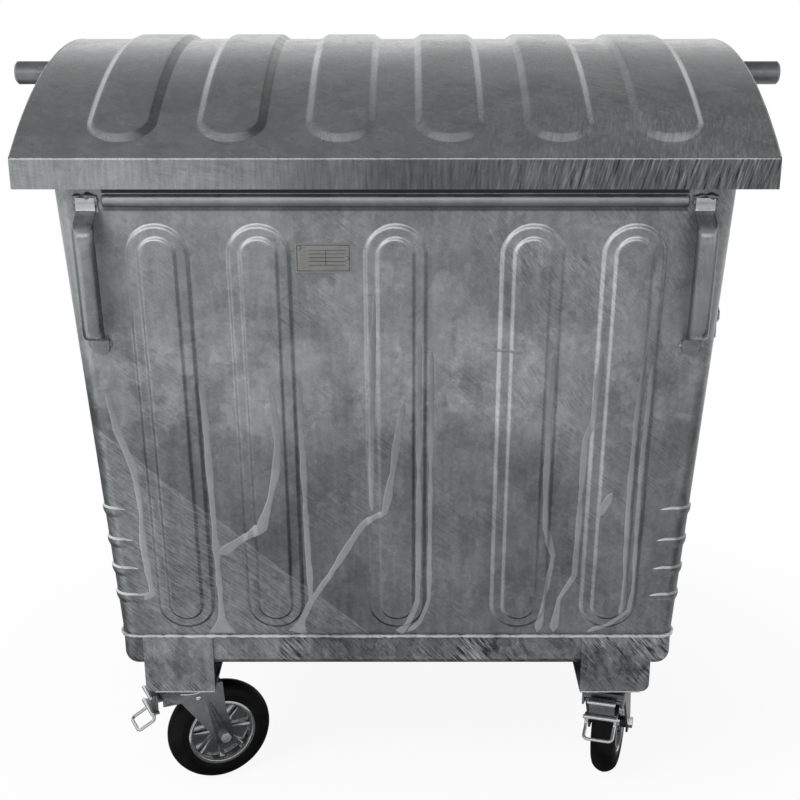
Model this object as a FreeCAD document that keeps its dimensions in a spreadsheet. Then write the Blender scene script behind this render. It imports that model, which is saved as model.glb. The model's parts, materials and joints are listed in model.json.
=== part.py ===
import FreeCAD, Part
import math
import os
import re

import Sketcher
from FreeCAD import Placement, Rotation, Vector

# Wheeled steel waste container with a round lid that swings back over the tub.
# Frame: origin on the floor under the middle, +Z up, the front faces -Y. Millimetres.

doc = FreeCAD.newDocument("waste_container")

# Lengths closer than this count as equal
NEAR = 0.001

# Driving sizes: name, value, meaning
SIZES = [
    # tub
    ("base_half_length", 489, "half length of the tub at the weld line, outside"),
    ("rim_half_length", 520.5, "half length of the tub at the front rim, outside"),
    ("base_half_depth", 380, "half depth of the tub at the weld line, outside"),
    ("front_rim_depth", 486, "distance of the front rim from the middle"),
    ("rear_rim_depth", 455, "distance of the rear rim from the middle"),
    ("rim_height", 1150, "height of the front rim"),
    ("rear_rim_drop", 40, "front rim to the rear rim, downwards"),
    ("gable_rise", 168, "front rim to the highest point of the side walls"),
    ("wall_sheet", 2, "sheet of walls and pan"),
    ("corner_radius", 25, "upright corners of the tub"),
    ("corner_return", 15, "stretch of the bent wall behind its corner"),
    ("pan_depth", 65, "depth of the bottom pan below the weld line of the walls"),
    ("pan_edge_radius", 24, "lower edge of the bottom pan"),
    # pressed ribs of the walls
    ("rib_near", 212, "middle rib to the next one"),
    ("rib_far", 369, "middle rib to the outer one"),
    ("rib_width", 92, "outline of the first rib step"),
    ("rib_start", 19, "weld line to the lower end of a rib, along the wall"),
    ("rib_stop", 66, "upper end of a rib to the rim, along the wall"),
    ("rib_margin", 19, "first rib step to the outline of the second"),
    ("rib_rise", 4, "height of one rib step"),
    ("rib_lean", 0.7, "sideways run of a rib flank per height"),
    ("side_rib_place", 200, "side ribs from the middle"),
    ("side_rib_cut", 87, "side ribs shorter than those of the front by"),
    # rim bars
    ("rim_bar_inset", 74.5, "ends of the rim bars from the ends of the rim"),
    ("rim_bar_width", 20, "height of the rim bars"),
    ("rim_bar_sheet", 7, "thickness of the rim bars"),
    ("rim_bar_drop", 16, "rim to the upper edge of its bar, along the wall"),
    # front handles
    ("handle_inset", 50.5, "middle of a handle from the end of the rim"),
    ("handle_width", 30, "width of the handle strap"),
    ("handle_sheet", 6, "thickness of the handle strap"),
    ("handle_reach", 52, "outside of the grip from the wall"),
    ("handle_drop", 20, "rim to the upper tab, along the wall"),
    ("handle_length", 252, "over both tabs of a handle"),
    ("handle_tab", 22, "length of a welded tab"),
    ("handle_grip", 176, "length of the straight grip"),
    ("handle_round", 2.6, "rounded edges of the strap"),
    # type plate
    ("type_plate_place", -112, "middle of the type plate, sideways"),
    ("type_plate_drop", 93, "rim to the type plate, along the wall"),
    ("type_plate_length", 87, "length of the type plate"),
    ("type_plate_width", 47, "height of the type plate"),
    ("type_plate_sheet", 1, "thickness of the type plate"),
    ("rivet_diameter", 7, "heads of the type plate rivets"),
    ("rivet_inset", 7, "rivets from the ends of the type plate"),
    # trunnions
    ("pin_span", 1370, "over the ends of both trunnion pins"),
    ("pin_diameter", 40, "trunnion pin"),
    ("pin_chamfer", 4, "chamfered end of a trunnion pin"),
    ("pin_drop", 41, "top of the gables to the axis of the trunnion pins"),
    ("boss_diameter", 56, "root of a trunnion pin"),
    ("boss_length", 25, "root of a trunnion pin"),
    ("collar_diameter", 46, "collar between root and pin"),
    ("collar_length", 22, "collar between root and pin"),
    ("trunnion_plate_stand", 8.435, "thickness of the trunnion plate at its upper edge"),
    ("trunnion_plate_width", 116, "trunnion plate along the wall"),
    ("trunnion_plate_top", 28, "pin axis to the upper edge of the plate"),
    ("trunnion_plate_drop", 92, "pin axis to the lower edge of the plate"),
    # lid
    ("lid_overhang", 50.5, "rim to the outside of the lid's end plates, sideways"),
    ("lid_half_depth", 520, "half depth of the lid over its aprons"),
    ("lid_radius", 1020, "outside of the curved lid"),
    ("lid_rise", 16, "top of the gables to the crown of the lid between its ribs"),
    ("lid_sheet", 2, "sheet of the lid"),
    ("apron_height", 45, "upright edge of the lid, front and rear"),
    ("lid_fold", 4, "bend between the curved lid and its aprons, outside"),
    ("lid_rib_pitch", 166, "one lid rib to the next"),
    ("lid_rib_width", 98, "outline of a lid rib"),
    ("lid_rib_rise", 8, "height of a lid rib"),
    ("lid_rib_lean", 1.8, "sideways run of a lid rib's flank per height"),
    ("lid_rib_inset", 33, "lid edge to the round end of a rib"),
    # lid pivot
    ("pivot_depth", 50, "pivot axis behind the middle"),
    ("pivot_drop", 455, "axis of the trunnion pins to the pivot axis"),
    ("end_plate_reach", 484, "lower edge of the lid's end plates from the pivot"),
    ("arm_reach", 503, "upper end of a lid arm from the pivot"),
    ("arm_front_angle", 1, "front edge of a lid arm at its upper end, from upright"),
    ("arm_rear_angle", 14, "rear edge of a lid arm at its upper end, from upright"),
    ("arm_sheet", 5, "thickness of a lid arm"),
    ("arm_eye_diameter", 60, "eye of a lid arm"),
    ("pivot_bolt_diameter", 20, "pivot bolt"),
    ("pivot_head_width", 30, "hexagon head of the pivot bolt, across corners"),
    ("pivot_head_height", 10, "hexagon head of the pivot bolt"),
    ("bush_diameter", 32, "pivot bush, outside"),
    ("running_gap", 0.05, "round running fits, on the radius"),
    ("seat_gap", 0.02, "round seats that don't turn, on the radius"),
    ("end_gap", 0.3, "flat running gaps"),
    ("pivot_pad_stand", 10.9, "thickness of the bracket's pad at its upper edge"),
    ("pivot_cheek_stand", 41, "end plates of the lid to the outer face of the bracket's cheek"),
    ("pivot_bracket_sheet", 5, "plates of the pivot bracket"),
    ("pivot_bracket_front", 38, "pivot axis to the front of its bracket"),
    ("pivot_bracket_rear", 34, "pivot axis to the rear of its bracket"),
    ("pivot_bracket_half_height", 37, "half height of the pivot bracket"),
    # casters
    ("kingpin_side", 390, "swivel axes from the middle, sideways"),
    ("kingpin_depth", 305, "swivel axes from the middle, front and rear"),
    ("caster_height", 232, "floor to the top of a caster"),
    ("trail", 55, "swivel axis to the wheel's axle"),
    ("heading_front_left", 25, "rest heading of the trailing side"),
    ("heading_front_right", 74, "rest heading of the trailing side"),
    ("heading_rear_left", 65, "rest heading of the trailing side"),
    ("heading_rear_right", 110, "rest heading of the trailing side"),
    ("wheel_diameter", 200, "tyre, outside"),
    ("tyre_width", 46, "tyre, outside"),
    ("tyre_shoulder", 19, "rounded shoulders of the tyre"),
    ("rim_diameter", 124, "seat of the tyre on the rim"),
    ("rim_wall", 5, "thickness of the rim"),
    ("rim_width", 38, "width of the rim"),
    ("web_sheet", 6, "disc of the rim"),
    ("spoke_width", 9, "pressed spokes of the rim"),
    ("spoke_depth", 24, "pressed spokes, along the axle"),
    ("spoke_count", 8, "pressed spokes"),
    ("hub_diameter", 36, "hub of the rim"),
    ("hub_width", 44, "hub of the rim"),
    ("bearing_diameter", 22, "bearing sleeve, outside"),
    ("axle_diameter", 12, "wheel axle"),
    ("axle_head_width", 21, "head and nut of the axle, across corners"),
    ("axle_head_height", 7, "head and nut of the axle"),
    ("fork_inside", 68, "between the legs of the fork"),
    ("fork_sheet", 4, "legs of the fork"),
    ("crown_diameter", 84, "swivel crown of the fork"),
    ("crown_thickness", 12.4, "swivel crown of the fork"),
    ("race_diameter", 72, "fixed bearing race under the top plate"),
    ("race_height", 10, "fixed bearing race under the top plate"),
    ("kingpin_diameter", 14, "kingpin"),
    ("kingpin_head_diameter", 24, "rivet head of the kingpin"),
    ("kingpin_head_height", 4, "rivet head of the kingpin"),
    ("top_plate_sheet", 6, "top plate of a caster"),
    ("bolt_pitch_length", 76, "caster bolts along the top plate"),
    ("bolt_pitch_width", 96, "caster bolts across the top plate"),
    ("bolt_end_margin", 9, "caster bolts to the ends of the top plate"),
    ("bolt_side_margin", 10, "caster bolts to the sides of the top plate"),
    ("bolt_diameter", 8, "caster bolts"),
    ("bolt_hole_diameter", 9, "holes for the caster bolts"),
    ("bolt_head_width", 15, "heads and nuts of the caster bolts, across corners"),
    ("bolt_head_height", 5, "heads and nuts of the caster bolts"),
    # caster brackets
    ("bracket_margin", 15, "top plate of a caster to the ends of its bracket"),
    ("bracket_depth", 152, "caster bracket from front to rear"),
    ("bracket_rise", 48, "top of a caster to the underside of the pan"),
    ("bracket_sheet", 4, "plates of the caster bracket"),
    ("bracket_apron", 112, "front plate of the caster bracket"),
    ("bracket_corner", 15, "rounded lower corner of the front plate"),
    ("bracket_flare", 26, "rear plate, wider at its top by"),
    # brake
    ("brake_pin_lead", 50, "swivel axis to the pedal's pin"),
    ("brake_pin_height", 196, "pedal's pin above the floor"),
    ("brake_pin_diameter", 8, "pedal's pin"),
    ("pedal_width", 46, "face of the pedal"),
    ("pedal_lip_width", 60, "lower lip of the pedal"),
    ("pedal_lead", 18, "pin to the face of the pedal"),
    ("pedal_lip", 11, "lips of the pedal ahead of its face"),
    ("pedal_sheet", 4, "sheet of the pedal"),
    ("pedal_height", 35, "face of the pedal"),
    ("pedal_rise", 11, "pin to the upper edge of the pedal"),
    ("bail_diameter", 6, "wire of the bail"),
    ("bail_half_width", 26, "half width of the bail at its ends"),
    ("bail_lead", 30, "bail ahead of the pedal's lip"),
    ("bail_drop", 28, "bail below the pedal's lip"),
    ("bail_stem", 12, "upright ends of the bail"),
    ("bail_bend", 8, "bends of the bail"),
]

# Places worked out from the driving sizes: name, formula
PLACES = [
    ("pan_floor", "caster_height + bracket_rise"),
    ("base_height", "pan_floor + pan_depth"),
    ("rear_rim_height", "rim_height - rear_rim_drop"),
    ("gable_height", "rim_height + gable_rise"),
    ("side_slope", "(rim_half_length - base_half_length) / (rim_height - base_height)"),
    ("front_slope", "(front_rim_depth - base_half_depth) / (rim_height - base_height)"),
    ("rear_slope", "(rear_rim_depth - base_half_depth) / (rear_rim_height - base_height)"),
    ("wall_length", "(rim_height - base_height) / cos(atan(front_slope))"),
    ("rib_length", "wall_length - rib_start - rib_stop"),
    ("side_rib_length", "rib_length - side_rib_cut"),
    ("rim_bar_length", "2 * (rim_half_length - rim_bar_inset)"),
    ("handle_place", "rim_half_length - handle_inset"),
    ("handle_start", "wall_length - handle_drop - handle_length"),
    ("type_plate_start", "wall_length - type_plate_drop - type_plate_width"),
    ("corner_run", "corner_radius + corner_return"),
    ("pin_height", "gable_height - pin_drop"),
    ("trunnion_top", "pin_height + trunnion_plate_top"),
    ("trunnion_plate_face",
     "base_half_length + (trunnion_top - base_height) * side_slope + trunnion_plate_stand"),
    ("boss_end", "trunnion_plate_face + boss_length"),
    ("collar_end", "boss_end + collar_length"),
    ("lid_half_length", "rim_half_length + lid_overhang"),
    ("lid_top", "gable_height + lid_rise"),
    ("pivot_height", "pin_height - pivot_drop"),
    ("pivot_pad_top", "pivot_height + pivot_bracket_half_height"),
    ("pivot_pad_face",
     "base_half_length + (pivot_pad_top - base_height) * side_slope + pivot_pad_stand"),
    ("pivot_cheek_face", "lid_half_length + pivot_cheek_stand"),
    ("lid_axis", "lid_top - lid_radius"),
    ("lid_edge", "lid_axis + sqrt(lid_radius ^ 2 - lid_half_depth ^ 2)"),
    ("lid_shell_end", "lid_half_length - lid_sheet"),
    ("arm_outside", "lid_half_length + arm_sheet"),
    ("pivot_cheek_inside", "pivot_cheek_face - pivot_bracket_sheet"),
    ("wheel_radius", "wheel_diameter / 2"),
    ("fork_half", "fork_inside / 2 + fork_sheet"),
    ("top_plate_length", "bolt_pitch_length + 2 * bolt_end_margin"),
    ("top_plate_width", "bolt_pitch_width + 2 * bolt_side_margin"),
    ("bracket_length", "top_plate_length + 2 * bracket_margin"),
    ("race_bottom", "caster_height - top_plate_sheet - race_height"),
    ("crown_top", "race_bottom - end_gap"),
    ("crown_bottom", "crown_top - crown_thickness"),
    ("kingpin_end", "crown_bottom - end_gap"),
    ("pedal_face", "brake_pin_lead + pedal_lead"),
    ("pedal_top", "brake_pin_height + pedal_rise"),
    ("pedal_bottom", "pedal_top - pedal_height"),
]


def add_sheet(name):
    sheet = doc.addObject("Spreadsheet::Sheet", name)
    sheet.Label = name
    return sheet


sizes_sheet = add_sheet("sizes")
places_sheet = add_sheet("places")
HOMES = {name: "sizes" for name, value, note in SIZES}
HOMES.update({name: "places" for name, formula in PLACES})


def linked(text):
    """An expression with each size's name led by the name of its sheet."""
    def lead(match):
        word = match.group(0)
        return HOMES[word] + "." + word if word in HOMES else word
    return re.sub(r"[a-z][a-z_]*", lead, str(text))


for row, (name, value, note) in enumerate(SIZES, 1):
    sizes_sheet.set("A%d" % row, note)
    sizes_sheet.set("B%d" % row, str(value))
    sizes_sheet.setAlias("B%d" % row, name)
doc.recompute()
for row, (name, formula) in enumerate(PLACES, 1):
    places_sheet.set("A%d" % row, "=" + linked(formula))
    places_sheet.setAlias("A%d" % row, name)
    doc.recompute()

reader = doc.addObject("App::FeaturePython", "reader")
reader.addProperty("App::PropertyFloat", "figure")


def size(text):
    """The number that an expression on the sheets gives."""
    reader.setExpression("figure", linked(text))
    reader.recompute()
    return reader.figure


def bind(item, **sizes):
    """Bind an object's properties to expressions; a double underscore stands for a dot."""
    for name, text in sizes.items():
        item.setExpression(name.replace("__", "."), linked(text))
    return item


def place(item, x="0", y="0", z="0"):
    return bind(item, Placement__Base__x=x, Placement__Base__y=y, Placement__Base__z=z)


def primitive(kind, label, at, **sizes):
    item = doc.addObject("Part::" + kind, label)
    bind(item, **sizes)
    return place(item, *at)


def box(label, low, high):
    """A block between two corners, each given as three expressions."""
    spans = ["(%s) - (%s)" % (far, near) for near, far in zip(low, high)]
    return primitive("Box", label, low, Length=spans[0], Width=spans[1], Height=spans[2])


TURNS = {
    "x": Rotation(Vector(0, 1, 0), 90),
    "y": Rotation(Vector(1, 0, 0), -90),
    "z": Rotation(),
}


def rod(label, axis, at, radius, length):
    """A cylinder from a point along +X, +Y or +Z."""
    item = doc.addObject("Part::Cylinder", label)
    item.Placement = Placement(Vector(), TURNS[axis])
    bind(item, Radius=radius, Height=length)
    return place(item, *at)


def rod_end(label, at, radius, chamfer):
    """A chamfered end on a cylinder along +X."""
    item = doc.addObject("Part::Cone", label)
    item.Placement = Placement(Vector(), TURNS["x"])
    bind(item, Radius1=radius, Radius2="%s - %s" % (radius, chamfer), Height=chamfer)
    return place(item, *at)


def hexagon(label, axis, at, width, length):
    """A hexagonal prism from a point along +X, +Y or +Z, measured across its corners."""
    item = doc.addObject("Part::Prism", label)
    item.Polygon = 6
    item.Placement = Placement(Vector(), TURNS[axis])
    bind(item, Circumradius="(%s) / 2" % width, Height=length)
    return place(item, *at)


def fused(label, *items):
    item = doc.addObject("Part::MultiFuse", label)
    item.Shapes = list(items)
    item.Refine = True
    return item


def without(label, base, *tools):
    item = doc.addObject("Part::Cut", label)
    item.Base = base
    item.Tool = tools[0] if len(tools) == 1 else fused(label + "_tools", *tools)
    item.Refine = False
    return item


def mirrored(label, source, normal=(1, 0, 0)):
    item = doc.addObject("Part::Mirroring", label)
    item.Source = source
    item.Normal = Vector(*normal)
    return item


def stationed(label, source, x, y, z="0", turn="0"):
    """The same piece at another station: moved, and turned about the upright."""
    item = doc.addObject("Part::Compound", label)
    item.Links = [source]
    item.Placement = Placement(Vector(), Rotation(Vector(0, 0, 1), 1))
    bind(item, Placement__Rotation__Angle=turn)
    return place(item, x, y, z)


def solid_piece(label, shape):
    item = doc.addObject("Part::Feature", label)
    item.Shape = shape
    return item


def plane_of(body, role):
    return next(item for item in body.Origin.OriginFeatures if item.Role == role)


def outline(body, role, corners):
    """A closed sketch of straight lines whose corners are bound to expressions."""
    sketch = body.newObject("Sketcher::SketchObject", body.Name + "_outline")
    sketch.AttachmentSupport = (plane_of(body, role), [""])
    sketch.MapMode = "FlatFace"
    spots = [Vector(size(across), size(along), 0) for across, along in corners]
    for index, spot in enumerate(spots):
        sketch.addGeometry(Part.LineSegment(spot, spots[(index + 1) % len(spots)]), False)
    for index in range(len(spots)):
        after = (index + 1) % len(spots)
        sketch.addConstraint(Sketcher.Constraint("Coincident", index, 2, after, 1))
    for index, (spot, texts) in enumerate(zip(spots, corners)):
        for kind, figure, text in zip(("DistanceX", "DistanceY"), spot, texts):
            number = sketch.addConstraint(Sketcher.Constraint(kind, -1, 1, index, 1, figure))
            sketch.setExpression("Constraints[%d]" % number, linked(text))
    return sketch


def padded(label, role, corners, thickness, symmetric=False):
    """A body with one straight-lined outline padded to a thickness."""
    body = doc.addObject("PartDesign::Body", label)
    pad = body.newObject("PartDesign::Pad", label + "_pad")
    pad.Profile = outline(body, role, corners)
    pad.SideType = "Symmetric" if symmetric else "One side"
    bind(pad, Length=thickness)
    body.Tip = pad
    return body


def revolved(label, corners):
    """A body turned from an outline of radius against length, about its own Y axis."""
    body = doc.addObject("PartDesign::Body", label)
    turn = body.newObject("PartDesign::Revolution", label + "_turn")
    sketch = outline(body, "XY_Plane", corners)
    turn.Profile = sketch
    turn.ReferenceAxis = (sketch, ["V_Axis"])
    turn.Angle = 360
    body.Tip = turn
    doc.recompute()
    return body


def rounded(body, radius, wanted):
    """Round the edges of a body that pass a test."""
    base = body.Tip
    names = ["Edge%d" % number for number, edge in enumerate(base.Shape.Edges, 1) if wanted(edge)]
    fillet = body.newObject("PartDesign::Fillet", body.Name + "_round")
    fillet.Base = (base, names)
    bind(fillet, Radius=radius)
    body.Tip = fillet
    return body


def half_length_at(height):
    return "(base_half_length + (%s - base_height) * side_slope)" % height


# Tub walls, bent from sheet with pressed ribs

def polyline_face(points):
    return Part.Face(Part.makePolygon(points + points[:1]))


def bent_wall_section(half_length, depth, height):
    """The outline of a wall sheet at one height: a face, two round corners and two short returns."""
    radius, sheet = size("corner_radius"), size("wall_sheet")
    end = size("corner_run") - depth
    centre = Vector(half_length - radius, radius - depth, height)

    def side(sign, offset):
        """One end's line and arc, from the return's end to the face."""
        reach = radius - offset
        diagonal = reach * math.sqrt(0.5)
        spots = [Vector(half_length - offset, end, height), centre + Vector(reach, 0, 0),
                 centre + Vector(diagonal, -diagonal, 0), centre - Vector(0, reach, 0)]
        return [Vector(sign * spot.x, spot.y, spot.z) for spot in spots]

    edges = []
    left, right = side(-1, 0), side(1, 0)
    inner_left, inner_right = side(-1, sheet), side(1, sheet)
    for first, second in ((left, right), (inner_left, inner_right)):
        edges += [Part.LineSegment(first[0], first[1]), Part.Arc(first[1], first[2], first[3]),
                  Part.LineSegment(first[3], second[3]), Part.Arc(second[3], second[2], second[1]),
                  Part.LineSegment(second[1], second[0])]
    edges += [Part.LineSegment(left[0], inner_left[0]), Part.LineSegment(right[0], inner_right[0])]
    return Part.Wire(Part.__sortEdges__([edge.toShape() for edge in edges]))


def stadium(width, length, height):
    """A long outline with half-round ends, along Y."""
    radius, straight = width / 2, length / 2 - width / 2
    corners = [Vector(sign * radius, end * straight, height)
               for sign, end in ((1, -1), (1, 1), (-1, 1), (-1, -1))]
    top, bottom = Vector(0, length / 2, height), Vector(0, -length / 2, height)
    return Part.Wire([Part.LineSegment(corners[0], corners[1]).toShape(),
                      Part.Arc(corners[1], top, corners[2]).toShape(),
                      Part.LineSegment(corners[2], corners[3]).toShape(),
                      Part.Arc(corners[3], bottom, corners[0]).toShape()])


def pressing(width, length, low, high, lean):
    """A stadium block that narrows with height; its outline holds at height 0."""
    outlines = [stadium(width - 2 * lean * level, length - 2 * lean * level, level)
                for level in (low, high)]
    return Part.makeLoft(outlines, True, True)


def stepped_rib(length, sink):
    """A rib of two steps, sunk below its sheet."""
    width, margin, rise, lean = [size("rib_" + word) for word in ("width", "margin", "rise", "lean")]
    lower = pressing(width, length, -sink, rise, lean)
    upper = pressing(width - 2 * margin, length - 2 * margin, -sink, 2 * rise, lean)
    return lower.fuse(upper)


def with_ribs(sheet_shape, length, spots):
    """Raise a rib from a sheet at each placement and hollow it from behind."""
    sheet = size("wall_sheet")
    raised = stepped_rib(length, sheet / 2)
    hollow = stepped_rib(length, 3 * sheet)
    hollow.translate(Vector(0, 0, -sheet))
    return (sheet_shape.fuse([raised.transformed(spot.Matrix) for spot in spots])
            .cut([hollow.transformed(spot.Matrix) for spot in spots]))


def face_frame(depth, slope):
    """The outside of a wall at the weld line: X along it, Y up it, Z outwards."""
    return Placement(Vector(0, -depth, size("base_height")),
                     Rotation(Vector(1, 0, 0), 90 + math.degrees(math.atan(slope))))


def end_wall(rim, rim_depth, slope_name):
    """A front or rear wall, as seen at the front."""
    base, slope = size("base_height"), size(slope_name)
    depth = size("base_half_depth")
    sections = [bent_wall_section(size(half_length_at(height)), far, height)
                for height, far in ((base, depth), (rim, rim_depth))]
    length = size("rib_length") - (size("rim_height") - rim)
    middle = size("rib_start") + length / 2
    frame = face_frame(depth, slope)
    near, far = size("rib_near"), size("rib_far")
    spots = [frame * Placement(Vector(across, middle, 0), Rotation())
             for across in (-far, -near, 0, near, far)]
    return with_ribs(Part.makeLoft(sections, True, True), length, spots)


def side_wall():
    """The right side wall, flat between the returns, with a round gable."""
    base, rim, rear_rim = size("base_height"), size("rim_height"), size("rear_rim_height")
    run, sheet = size("corner_run"), size("wall_sheet")
    front_low = Vector(0, run - size("base_half_depth"), base)
    front_high = Vector(0, run - size("front_rim_depth"), rim)
    rear_high = Vector(0, size("rear_rim_depth") - run, rear_rim)
    rear_low = Vector(0, size("base_half_depth") - run, base)
    gable = Part.Arc(front_high, Vector(0, 0, size("gable_height")), rear_high)
    edges = [Part.LineSegment(front_low, front_high), gable,
             Part.LineSegment(rear_high, rear_low), Part.LineSegment(rear_low, front_low)]
    shadow = Part.Face(Part.Wire([edge.toShape() for edge in edges]))
    top = size("gable_height") + run
    spread = size("front_rim_depth") + run
    low_side, high_side = size("base_half_length"), size(half_length_at("(gable_height + corner_run)"))
    slab = polyline_face([Vector(low_side, -spread, base), Vector(high_side, -spread, top),
                          Vector(high_side - sheet, -spread, top),
                          Vector(low_side - sheet, -spread, base)]).extrude(Vector(0, 2 * spread, 0))
    wall = shadow.extrude(Vector(2 * high_side, 0, 0)).common(slab)
    lean = math.atan(size("side_slope"))
    frame = Placement(Vector(low_side, 0, base),
                      Rotation(Vector(0, 1, 0), Vector(math.sin(lean), 0, math.cos(lean)),
                               Vector(math.cos(lean), 0, -math.sin(lean)), "ZXY"))
    length = size("side_rib_length")
    middle = size("rib_start") + length / 2
    spots = [frame * Placement(Vector(sign * size("side_rib_place"), middle, 0), Rotation())
             for sign in (-1, 1)]
    return with_ribs(wall, length, spots)


def single(shape):
    """The one solid of a boolean's result."""
    if len(shape.Solids) != 1:
        raise RuntimeError("expected one solid, got %d" % len(shape.Solids))
    return shape.Solids[0]


HALF_TURN = Rotation(Vector(0, 0, 1), 180)

front_wall = solid_piece("front_wall", single(end_wall(size("rim_height"), size("front_rim_depth"),
                                                       "front_slope")))
rear_wall = solid_piece("rear_wall", single(end_wall(size("rear_rim_height"), size("rear_rim_depth"),
                                                     "rear_slope")))
rear_wall.Placement = Placement(Vector(), HALF_TURN)
side_wall_right = solid_piece("side_wall_right", single(side_wall()))
side_wall_left = mirrored("side_wall_left", side_wall_right)


# Bottom pan, a dish with a rounded lower edge

def dish(inset):
    """A block with round upright corners and a round lower edge, smaller by an inset."""
    half_length, half_depth = size("base_half_length") - inset, size("base_half_depth") - inset
    floor, top = size("pan_floor") + inset, size("base_height") + inset
    block = Part.makeBox(2 * half_length, 2 * half_depth, top - floor,
                         Vector(-half_length, -half_depth, floor))
    uprights = [edge for edge in block.Edges if edge.BoundBox.ZLength > NEAR]
    block = block.makeFillet(size("corner_radius") - inset, uprights)
    lower = [edge for edge in block.Edges if edge.BoundBox.ZMax < floor + NEAR]
    return block.makeFillet(size("pan_edge_radius") - inset, lower)


floor_pan = solid_piece("floor_pan", single(dish(0).cut(dish(size("wall_sheet")))))


# Pieces on the front and rear walls, in each wall's own frame

def on_wall(item, slope, y_sign, across, along, out="0"):
    """Set a piece on the outside of the front (-1) or rear (1) wall; X runs along, Y up, Z out."""
    lean = "atan(%s)" % slope
    turn = Rotation(Vector(1, 0, 0), 90 + math.degrees(math.atan(size(slope))))
    if y_sign > 0:
        turn = HALF_TURN * turn
    item.Placement = Placement(Vector(), turn)
    up = "((%s) * cos(%s) - (%s) * sin(%s))" % (along, lean, out, lean)
    away = "((%s) * sin(%s) + (%s) * cos(%s))" % (along, lean, out, lean)
    return place(item, "%d * (%s)" % (-y_sign, across), "%d * (base_half_depth + %s)" % (y_sign, away),
                 "base_height + " + up)


def rim_bar(label, slope, y_sign, rim):
    """A flat bar along the outside of a rim."""
    item = doc.addObject("Part::Box", label)
    bind(item, Length="rim_bar_length", Width="rim_bar_width", Height="rim_bar_sheet")
    along = "(%s - base_height) / cos(atan(%s)) - rim_bar_drop - rim_bar_width" % (rim, slope)
    return on_wall(item, slope, y_sign, "-rim_bar_length / 2", along)


rim_bar_front = rim_bar("rim_bar_front", "front_slope", -1, "rim_height")
rim_bar_rear = rim_bar("rim_bar_rear", "rear_slope", 1, "rear_rim_height")


def handle(label, across):
    """A bent strap: a welded tab, a leg, the grip, a leg and a tab, then rounded edges."""
    grip_low = "(handle_length - handle_grip) / 2"
    grip_high = "(handle_length + handle_grip) / 2"
    slant = "handle_sheet * 0.8"
    far, near = "handle_reach", "(handle_reach - handle_sheet)"
    corners = [("0", "0"), ("handle_tab", "0"), (grip_low + " + " + slant, near),
               (grip_high + " - " + slant, near), ("handle_length - handle_tab", "0"),
               ("handle_length", "0"), ("handle_length", "handle_sheet"),
               ("handle_length - handle_tab + " + slant, "handle_sheet"), (grip_high, far),
               (grip_low, far), ("handle_tab - " + slant, "handle_sheet"), ("0", "handle_sheet")]
    body = padded(label, "YZ_Plane", corners, "handle_width", symmetric=True)
    doc.recompute()
    sides = size("handle_width") / 2
    tab_top = size("handle_sheet")

    def outer_edge(edge):
        """Long edges of the strap's flat sides, away from the welded faces."""
        bounds = edge.BoundBox
        on_side = bounds.XLength < NEAR and abs(abs(bounds.XMin) - sides) < NEAR
        return on_side and bounds.ZMin > tab_top - NEAR

    rounded(body, "handle_round", outer_edge)
    return on_wall(body, "front_slope", -1, across, "handle_start")


handle_front_left = handle("handle_front_left", "-handle_place")
handle_front_right = handle("handle_front_right", "handle_place")

type_plate = on_wall(primitive("Box", "type_plate", ("0", "0", "0"), Length="type_plate_length",
                               Width="type_plate_width", Height="type_plate_sheet"),
                     "front_slope", -1, "type_plate_place - type_plate_length / 2", "type_plate_start")


def rivet(label, across, along):
    """A half-round rivet head on the type plate."""
    item = doc.addObject("Part::Sphere", label)
    item.Angle1 = 0
    bind(item, Radius="rivet_diameter / 2")
    return on_wall(item, "front_slope", -1, across, along, "type_plate_sheet")


rivet_span = "(type_plate_length / 2 - rivet_inset)"
rivets = [rivet("rivet_left", "type_plate_place - " + rivet_span,
                "type_plate_start + type_plate_width - rivet_inset"),
          rivet("rivet_right", "type_plate_place + " + rivet_span,
                "type_plate_start + type_plate_width / 2")]
type_plate_rivets = doc.addObject("Part::Compound", "type_plate_rivets")
type_plate_rivets.Links = rivets


# Trunnions on the gables

def side_block(label, face, low, high, near, far):
    """A block on the sloping right side wall, with an upright outer face."""
    item = doc.addObject("Part::Wedge", label)
    item.Placement = Placement(Vector(), Rotation(Vector(1, 0, 0), 90))
    bind(item, Xmin=half_length_at("(%s)" % low), X2min=half_length_at("(%s)" % high), Xmax=face,
         X2max=face, Ymin=low, Ymax=high, Zmin="-(%s)" % far, Z2min="-(%s)" % far,
         Zmax="-(%s)" % near, Z2max="-(%s)" % near)
    return item


trunnion_plate_right = side_block("trunnion_plate_right", "trunnion_plate_face",
                                  "pin_height - trunnion_plate_drop", "trunnion_top",
                                  "-trunnion_plate_width / 2", "trunnion_plate_width / 2")
trunnion_plate_left = mirrored("trunnion_plate_left", trunnion_plate_right)

pin_root = ("trunnion_plate_face", "0", "pin_height")
trunnion_right = fused("trunnion_right",
                       rod("trunnion_boss", "x", pin_root, "boss_diameter / 2",
                           "boss_end - trunnion_plate_face"),
                       rod("trunnion_collar", "x", pin_root, "collar_diameter / 2",
                           "collar_end - trunnion_plate_face"),
                       rod("trunnion_pin", "x", pin_root, "pin_diameter / 2",
                           "pin_span / 2 - pin_chamfer - trunnion_plate_face"),
                       rod_end("trunnion_end", ("pin_span / 2 - pin_chamfer", "0", "pin_height"),
                               "pin_diameter / 2", "pin_chamfer"))
trunnion_left = mirrored("trunnion_left", trunnion_right)


# Lid: curved shell with pressed ribs, end plates, arms

LID_RIBS = 6


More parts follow.
